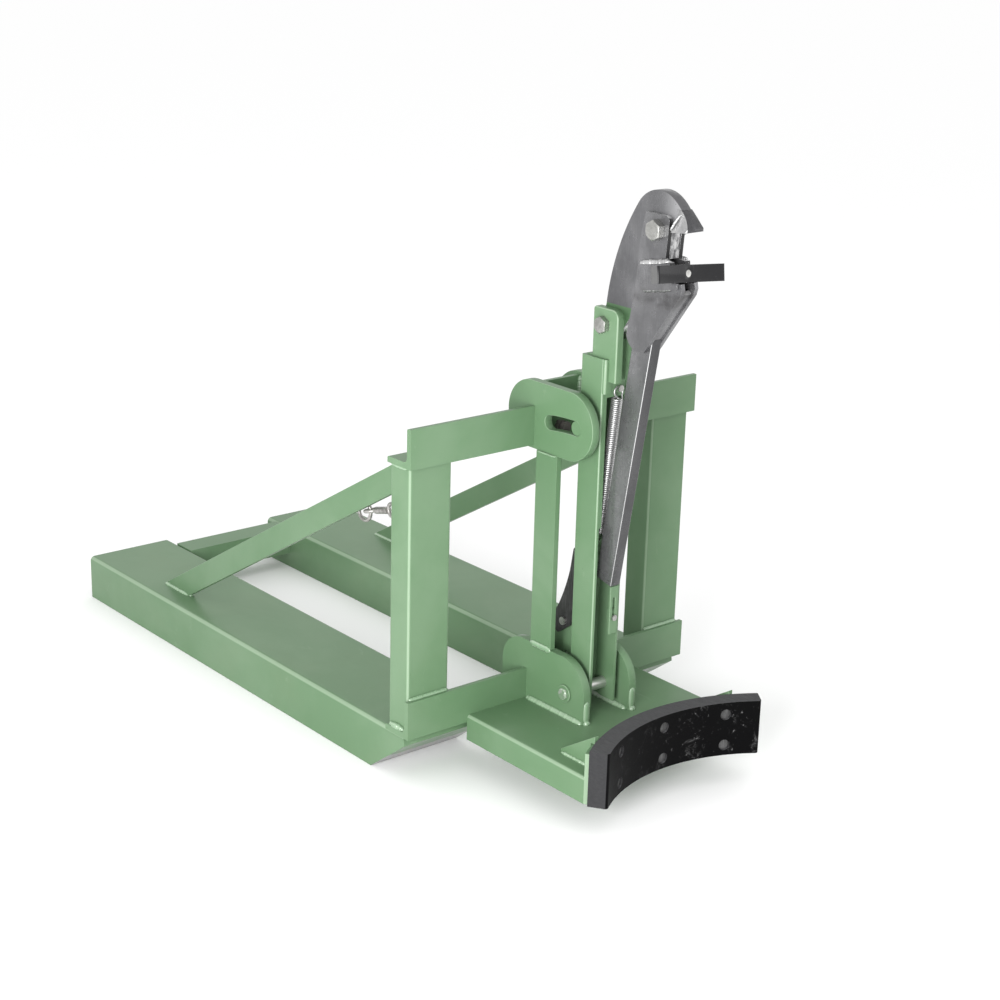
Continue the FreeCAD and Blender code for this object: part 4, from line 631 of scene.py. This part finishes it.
def butt(points, across, out, width, height, rough=0.09):
    """A raised bead over a flush joint: the fan of a fillet opened flat, across both sides of the line."""
    grid = bead(points, across, -across, width / 2, 0.0, rough)
    near = np.linalg.norm(grid[:, 1] - grid[:, -1], axis=-1) / width
    grid[:, 1:] += (near[:, None] * np.sin(math.pi * PROFILE) * height)[:, :, None] * out
    grid[:, 0] = (grid[:, 1] + grid[:, -1]) / 2 - out * ROOT
    return grid


def arc_points(centre, radius, start, stop, level, count):
    """Points on a level arc about centre (x, y), from start to stop in degrees, clockwise from the rear."""
    a = np.radians(np.linspace(start, stop, count))
    x, y = centre[0] + radius * np.sin(a), centre[1] + radius * np.cos(a)
    return np.stack([x, y, np.full(count, level)], -1)


def angles(count):
    """Equal steps once round, without the last one that falls on the first."""
    return np.linspace(0, math.tau, count, endpoint=False)


def tube(line, radius, sides):
    """A round tube: ring(s) = line(s) + radius * (cos a * n(s) + sin a * b(s)), n and b carried along it."""
    ahead = unit(np.gradient(line, axis=0))
    normal = np.zeros_like(line)
    side = unit(np.cross(ahead[0], BACK if abs(ahead[0, 1]) < 0.9 else RIGHT))
    for k in range(len(line)):
        side = unit(side - np.dot(side, ahead[k]) * ahead[k])
        normal[k] = side
    binormal = np.cross(ahead, normal)
    a = angles(sides)[:, None]
    return line[:, None, :] + radius * (np.cos(a) * normal[:, None, :] + np.sin(a) * binormal[:, None, :])


def rings(axis_point, axis, heights, radii):
    """Rings about a level axis: ring(a) = axis_point + height * axis + radius * (cos a * u + sin a * v)."""
    u = unit(np.cross(axis, UP))
    v = np.cross(axis, u)
    a = angles(radii.shape[1])[:, None]
    outwards = np.cos(a) * u + np.sin(a) * v
    return np.array(axis_point, float) + heights[:, :, None] * axis + radii[:, :, None] * outwards


def hexed(axis_point, axis, start, stop, flats, both_ends=False):
    """A hexagon along an axis, with a 30 degree cone at its far end or at both, as on a nut or bolt head.

    radius(a) = flats / 2 / cos(a mod 60 degrees); the cone lowers an end by tan 30 times what the radius
    has over 0.95 flats / 2."""
    a = angles(96)
    from_flat = (a + math.pi / 6) % (math.pi / 3) - math.pi / 6
    radius = flats / 2 / np.cos(from_flat)
    rim = np.full_like(a, 0.95 * flats / 2)
    drop = math.tan(math.radians(30)) * (radius - rim)
    first, last = np.full_like(a, start), np.full_like(a, stop)
    heights, radii = ([first, start + drop], [rim, radius]) if both_ends else ([first], [radius])
    return rings(axis_point, axis, np.array(heights + [stop - drop, last]), np.array(radii + [radius, rim]))


def threaded(axis_point, axis, start, stop, radius):
    """A screw thread: radius(h, a) = radius - 0.5 pitch * |saw(h / pitch - a / turn)|, with a round end."""
    a = angles(24)
    h = np.linspace(start, stop, max(int(abs(stop - start) / THREAD_PITCH * 6), 8))[:, None]
    saw = np.abs((h / THREAD_PITCH - a / math.tau) % 1.0 - 0.5) * 2
    end = np.clip(np.abs(stop - h) / (0.8 * THREAD_PITCH), 0.0, 1.0)
    radii = (radius - 0.5 * THREAD_PITCH * saw) * (0.80 + 0.20 * np.sqrt(end))
    return rings(axis_point, axis, h, radii)


# Tension spring

SPRING_LOW, SPRING_HIGH = np.array([0.0, -102.5, 408.9]), np.array([0.0, -128.5, 638.2])
LOW_LOOP, HIGH_LOOP = np.array([0.0, -102.5, 398.2]), np.array([0.0, -130.8, 649.0])
SPRING_TURNS = 70
COIL_RADIUS, LOOP_RADIUS, WIRE_RADIUS = 8.4, 8.9, 1.42


def spring_line():
    """Middle line of the spring: low loop, close helix with a turn every 3.3 mm, high loop.

    Each loop is a circle across the view that starts and ends at the coil's axis."""
    rise = SPRING_HIGH - SPRING_LOW
    depth = np.cross(unit(rise), RIGHT)
    a = np.linspace(0, math.tau * SPRING_TURNS, SPRING_TURNS * 22 + 1)[:, None]
    helix = SPRING_LOW + a / a[-1] * rise + COIL_RADIUS * (np.cos(a) * RIGHT + np.sin(a) * depth)
    b = np.linspace(math.radians(-250), math.radians(60), 44)[:, None]
    low_loop = LOW_LOOP + LOOP_RADIUS * (np.cos(b) * RIGHT + np.sin(b) * UP)
    c = np.linspace(math.radians(-60), math.radians(250), 44)[:, None]
    high_loop = HIGH_LOOP + LOOP_RADIUS * (np.cos(c) * RIGHT + np.sin(c) * UP)
    return np.concatenate([low_loop[:-2], helix[3:-3], high_loop[2:]])


def smooth_line(line, rounds):
    """Evens a line out by averaging each point with its neighbours, the ends held."""
    for _ in range(rounds):
        line[1:-1] = line[1:-1] * 0.5 + (line[:-2] + line[2:]) * 0.25
    return line


spring_wire = tube(smooth_line(spring_line(), 2), WIRE_RADIUS, 8)
spring = mesh_piece("wound_spring", [spring_wire], None, WIRE)
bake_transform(spring)
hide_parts("lift_spring")

# Bolts with real heads and threads

# at is the middle of the bolt's axis, seat the distance from it to the head and to the nut.
BOLTS = {
    "jaw": {"body": "beak", "at": (0, -217, 918), "seat": 17.6, "flats": 28.0, "head": 12.0, "nut": 14.0,
            "shank": (-17.8, 35.6), "radius": 9.0},
    "head": {"body": "slider", "at": (0, -116, 756), "seat": 23.9, "flats": 24.0, "head": 10.0, "nut": 13.0,
             "shank": (-24.0, 40.9), "radius": 8.0},
}


def dressed(node, grids, body):
    """A zinc plated piece with flat faces in place of a CAD one."""
    piece = mesh_piece(node + "_dressed", grids, body, ZINC, smooth=False)
    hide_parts(node)


for bolt_name, bolt in BOLTS.items():
    head = hexed(bolt["at"], LEFT, bolt["seat"], bolt["seat"] + bolt["head"], bolt["flats"])
    shank = threaded(bolt["at"], RIGHT, *bolt["shank"], bolt["radius"])
    dressed(bolt_name + "_bolt", [head, shank], bolt["body"])
for bolt_name, bolt in BOLTS.items():
    nut = hexed(bolt["at"], RIGHT, bolt["seat"], bolt["seat"] + bolt["nut"], bolt["flats"], both_ends=True)
    dressed(bolt_name + "_nut", [nut], bolt["body"])

# Weld beads of the frame. The right pieces' corners serve both sides.

BASE_TOP = corners("base_block")[1][2]
(EAR_IN, EAR_FRONT, _), (EAR_OUT, _, EAR_TOP) = corners("right_ear_plate")
GUIDE_FOOT = corners("right_guide_plate")[0][2]
FLATS_FRONT, FLATS_REAR = (corner[1] for corner in corners("rear_flats"))
(POST_IN, POST_FRONT, POST_FOOT), (POST_OUT, POST_REAR, POST_TOP) = corners("right_upright")
(BRACE_IN, BRACE_FRONT, SLEEVE_TOP), (BRACE_OUT, BRACE_REAR, _) = corners("right_brace")
LOW_BAR_TOP = corners("lower_bar_right")[1][2]
FLAT_IN = EAR_OUT - 10.0
BRACE_FOOT = 762.5
GUSSET_OUT, GUSSET_WALL = 151.8, 8.0


def green_welds(name, beads):
    mesh_piece(name, beads, "frame", WELD_GREEN)


def ear_welds(side, name, out):
    """Round the ear plates on the base, and at the rear flats between ears and guide plates."""
    ear, inner, middle = side * EAR_OUT, side * EAR_IN, side * (EAR_OUT + EAR_IN) / 2
    nose = EAR_FRONT + 0.4
    green_welds(name + "_ear_welds", [
        bead([(ear, EAR_FRONT + 2, BASE_TOP), (ear, -2, BASE_TOP)], out, UP, 6.5, 0.2),
        bead([(ear - side, EAR_FRONT, BASE_TOP), (inner + side, EAR_FRONT, BASE_TOP)], AHEAD, UP, 7.0, 0.3),
        butt([(middle, nose, BASE_TOP), (middle, nose, BASE_TOP + 39)], out, AHEAD, 15.0, 3.2, rough=0.02),
        bead([(inner, EAR_FRONT + 5, BASE_TOP), (inner, -2, BASE_TOP)], -out, UP, 6.5, 0.2),
    ])
    flat = side * FLAT_IN
    seam = EAR_TOP - 0.5
    green_welds(name + "_flat_welds", [
        butt([(ear, FLATS_FRONT - 1, seam), (ear, FLATS_REAR + 1, seam)], UP, out, 12.0, 3.0, rough=0.12),
        bead([(ear, FLATS_FRONT + 2, GUIDE_FOOT), (ear, FLATS_REAR - 2, GUIDE_FOOT)], out, DOWN, 3.4, 0.2),
        bead([(flat, FLATS_FRONT + 1, EAR_TOP), (flat, FLATS_REAR - 1, EAR_TOP)], -out, UP, 3.0, 0.2),
    ])


def tie_welds(side, name, out):
    """Down both faces of the tie plate, at the guide plate."""
    inner = side * EAR_IN
    green_welds(name + "_tie_welds", [
        bead([(inner, TIE_FRONT, 640), (inner, TIE_FRONT, 556)], -out, AHEAD, 7.0, 0.25, rough=0.1),
        bead([(inner, TIE_REAR, 640), (inner, TIE_REAR, 546)], -out, BACK, 4.5, 0.2),
    ])


def upright_welds(side, name, out):
    """Round the upright's foot and top."""
    outer, inner = side * POST_OUT, side * POST_IN
    foot, top = POST_FOOT + 0.3, POST_TOP - 0.5
    front, rear = POST_FRONT, POST_REAR
    face = front - 0.5
    low_out, low_in = outer - 2 * side, inner + 2 * side
    back_out, back_in = outer - 3 * side, inner + 3 * side
    green_welds(name + "_upright_welds", [
        bead([(outer, front + 6, foot), (outer, rear - 6, foot)], out, UP, 7.0, 0.35, rough=0.16),
        bead([(outer, front + 5, top), (outer, rear - 5, top)], out, DOWN, 4.6, 0.3, rough=0.16),
        bead([(low_out, face, LOW_BAR_TOP), (low_in, face, LOW_BAR_TOP)], AHEAD, UP, 4.5, 0.2),
        bead([(inner, front + 6, foot), (inner, rear - 8, foot)], -out, UP, 5.0, 0.2),
        bead([(inner, front + 6, top), (inner, rear - 8, top)], -out, DOWN, 4.0, 0.2),
        bead([(back_out, rear, foot), (back_in, rear, foot)], BACK, UP, 4.0, 0.2),
        bead([(back_out, rear, top), (back_in, rear, top)], BACK, DOWN, 4.0, 0.2),
    ])


def brace_welds(side, name, out):
    """Round the brace's foot on the sleeve, and up both its faces at the upright."""
    outer, inner = side * BRACE_OUT, side * BRACE_IN
    rear, ahead, head = BRACE_REAR - 3, BRACE_FOOT + 3.5, BRACE_FRONT + 0.5
    green_welds(name + "_brace_welds", [
        bead([(outer, rear, SLEEVE_TOP), (outer, ahead, SLEEVE_TOP)], out, UP, 4.5, 0.25, rough=0.22),
        bead([(inner, rear, SLEEVE_TOP), (inner, ahead, SLEEVE_TOP)], -out, UP, 4.5, 0.25),
        bead([(outer, BRACE_FOOT, SLEEVE_TOP), (inner, BRACE_FOOT, SLEEVE_TOP)], AHEAD, UP, 4.0, 0.3),
        bead([(outer, head, 500), (outer, head, 541)], out, BACK, 4.0, 0.2),
        bead([(inner, head, 500), (inner, head, 541)], -out, BACK, 4.0, 0.2),
    ])


def gusset_welds(side, name, out):
    """Along both faces of the gusset, on the base."""
    outer, inner = side * GUSSET_OUT, side * (GUSSET_OUT - GUSSET_WALL)
    green_welds(name + "_gusset_welds", [
        bead([(outer, -263, BASE_TOP), (outer, -198, BASE_TOP)], out, UP, 4.0, 0.25, rough=0.22),
        bead([(inner, -260, BASE_TOP), (inner, -198, BASE_TOP)], -out, UP, 4.0, 0.25),
    ])


def bar_end_welds(side, name, out):
    """At the inner ends of the cross bars, behind their front flanges and on the upper one's shelf."""
    ear, behind, shelf = side * EAR_OUT, 10.5, 550.5
    green_welds(name + "_bar_end_welds", [
        bead([(ear, behind, 104), (ear, behind, 150)], out, BACK, 3.6, 0.15),
        bead([(ear, behind, 552), (ear, behind, 604)], out, BACK, 3.6, 0.15),
        bead([(ear, 12, shelf), (ear, 56, shelf)], out, UP, 3.6, 0.15),
    ])


for side, name in ((-1, "left"), (1, "right")):
    for lay in (ear_welds, tie_welds, upright_welds, brace_welds, gusset_welds, bar_end_welds):
        lay(side, name, side * RIGHT)

# The weld behind the backing plate follows its rear face, 25 degrees each way from the middle.
PLATE_CENTRE, PLATE_REAR_RADIUS = (0.0, -565.0), 333.5
plate_foot = arc_points(PLATE_CENTRE, PLATE_REAR_RADIUS, -25.0, 25.0, BASE_TOP, 60)
green_welds("backing_weld", [bead(plate_foot, BACK, UP, 4.2, 0.25)])

# Weld beads of the beak and the lever

JAW_TILT = math.radians(10.5)
JAW_MIDDLE = (-252.5, 856.5)
JAW_UP = np.array([0.0, math.sin(JAW_TILT), math.cos(JAW_TILT)])
CHEEK_FACE = 17.3


def jaw_place(across, ahead, above):
    """A point of the jaw's tilted frame: across to the right, ahead of the jaw's back, above its middle."""
    return (across, above * math.sin(JAW_TILT) - ahead * math.cos(JAW_TILT) + JAW_MIDDLE[0],
            ahead * math.sin(JAW_TILT) + above * math.cos(JAW_TILT) + JAW_MIDDLE[1])


def steel_weld(name, points, one, other, size, bulge, rough, body, material):
    mesh_piece(name, [bead(points, one, other, size, bulge, rough)], body, material)


for side, name in ((-1, "left"), (1, "right")):
    out, face = side * RIGHT, side * CHEEK_FACE
    cheek_top = [jaw_place(face, -66, 17.5), jaw_place(face, -14, 17.5), jaw_place(face, -1, 18.5)]
    steel_weld(name + "_cheek_top_weld", cheek_top, out, JAW_UP, 6.4, 0.3, 0.2, "jaw_lever", WELD_STEEL)
    cheek_foot = [jaw_place(face, -66, -21.5), jaw_place(face, -4, -21.5)]
    steel_weld(name + "_cheek_low_weld", cheek_foot, out, -JAW_UP, 4.0, 0.25, 0.2, "jaw_lever", GREY_WELD)
    toe_rear = [(10.4 * side, -260, 947), (12.6 * side, -257, 941), (19.0 * side, -247.5, 921)]
    steel_weld(name + "_toe_weld", toe_rear, out, BACK, 4.5, 0.35, 0.08, "beak", WELD_STEEL)


# Floor, light and camera

def stage():
    """A white floor far larger than the view, and an even white surround."""
    reach, drop = 70.0, 0.0004
    mesh = bpy.data.meshes.new("studio_floor")
    floor_corners = [(-reach, -reach, 0.0), (reach, -reach, 0.0), (reach, reach, 0.0), (-reach, reach, 0.0)]
    mesh.from_pydata(floor_corners, [], [(0, 1, 2, 3)])
    floor = bpy.data.objects.new("studio_floor", mesh)
    bpy.context.scene.collection.objects.link(floor)
    floor.location.z = -drop
    material, n, shader = finish_of("floor_white", specular=0.0)
    n.link(grey(0.96), shader["Base Color"])
    n.link(1.0, shader["Roughness"])
    mesh.materials.append(material)
    world = bpy.data.worlds.new("studio")
    bpy.context.scene.world = world
    world.use_nodes = True
    surround = world.node_tree.nodes["Background"].inputs
    surround["Color"].default_value = grey(1.0)
    surround["Strength"].default_value = 1.03


def softbox(name, place, target, size, power):
    """A rectangular lamp at place, turned to target; metres and watts."""
    data = bpy.data.lights.new(name, "AREA")
    data.shape = "RECTANGLE"
    data.size, data.size_y = size
    data.energy = power
    item = bpy.data.objects.new(name, data)
    bpy.context.scene.collection.objects.link(item)
    item.location = place
    item.rotation_euler = (Vector(target) - Vector(place)).to_track_quat("-Z", "Y").to_euler()


CAMERA_PLACE = (-2.0120, -2.62107, 1.4222)
CAMERA_TURN, CAMERA_HEIGHT, CAMERA_ROLL = -39.98, 18.16, 1.52
FOCAL_PIXELS, FRAME_PIXELS = 1929.45, 1000
SENSOR_WIDTH = 36.0


def camera():
    """The camera that the photograph's edges give: its place, turn, tilt, roll and lens."""
    az, el, roll = (math.radians(angle) for angle in (CAMERA_TURN, CAMERA_HEIGHT, CAMERA_ROLL))
    back = Vector((math.sin(az) * math.cos(el), -math.cos(az) * math.cos(el), math.sin(el)))
    right = Vector((math.cos(az), math.sin(az), 0.0))
    up = back.cross(right)
    turned_right = right * math.cos(roll) + up * math.sin(roll)
    turned_up = up * math.cos(roll) - right * math.sin(roll)
    data = bpy.data.cameras.new("camera")
    data.sensor_fit = "HORIZONTAL"
    data.sensor_width = SENSOR_WIDTH
    data.lens = FOCAL_PIXELS / FRAME_PIXELS * SENSOR_WIDTH
    data.clip_end = 200.0
    item = bpy.data.objects.new("camera", data)
    bpy.context.scene.collection.objects.link(item)
    turn = Matrix((turned_right, turned_up, back)).transposed()
    item.matrix_world = Matrix.Translation(CAMERA_PLACE) @ turn.to_4x4()
    bpy.context.scene.camera = item


stage()
softbox("key", place=(-3.0, -2.15, 1.15), target=(0.0, -0.3, 0.45), size=(1.2, 1.4), power=98.0)
softbox("low", place=(-1.6, -1.7, 0.50), target=(0.0, -0.42, 0.22), size=(0.7, 0.5), power=15.0)
softbox("fill", place=(2.6, -2.4, 1.6), target=(0.0, -0.3, 0.4), size=(1.6, 1.6), power=8.0)
camera()
bpy.context.scene.view_settings.view_transform = "Standard"
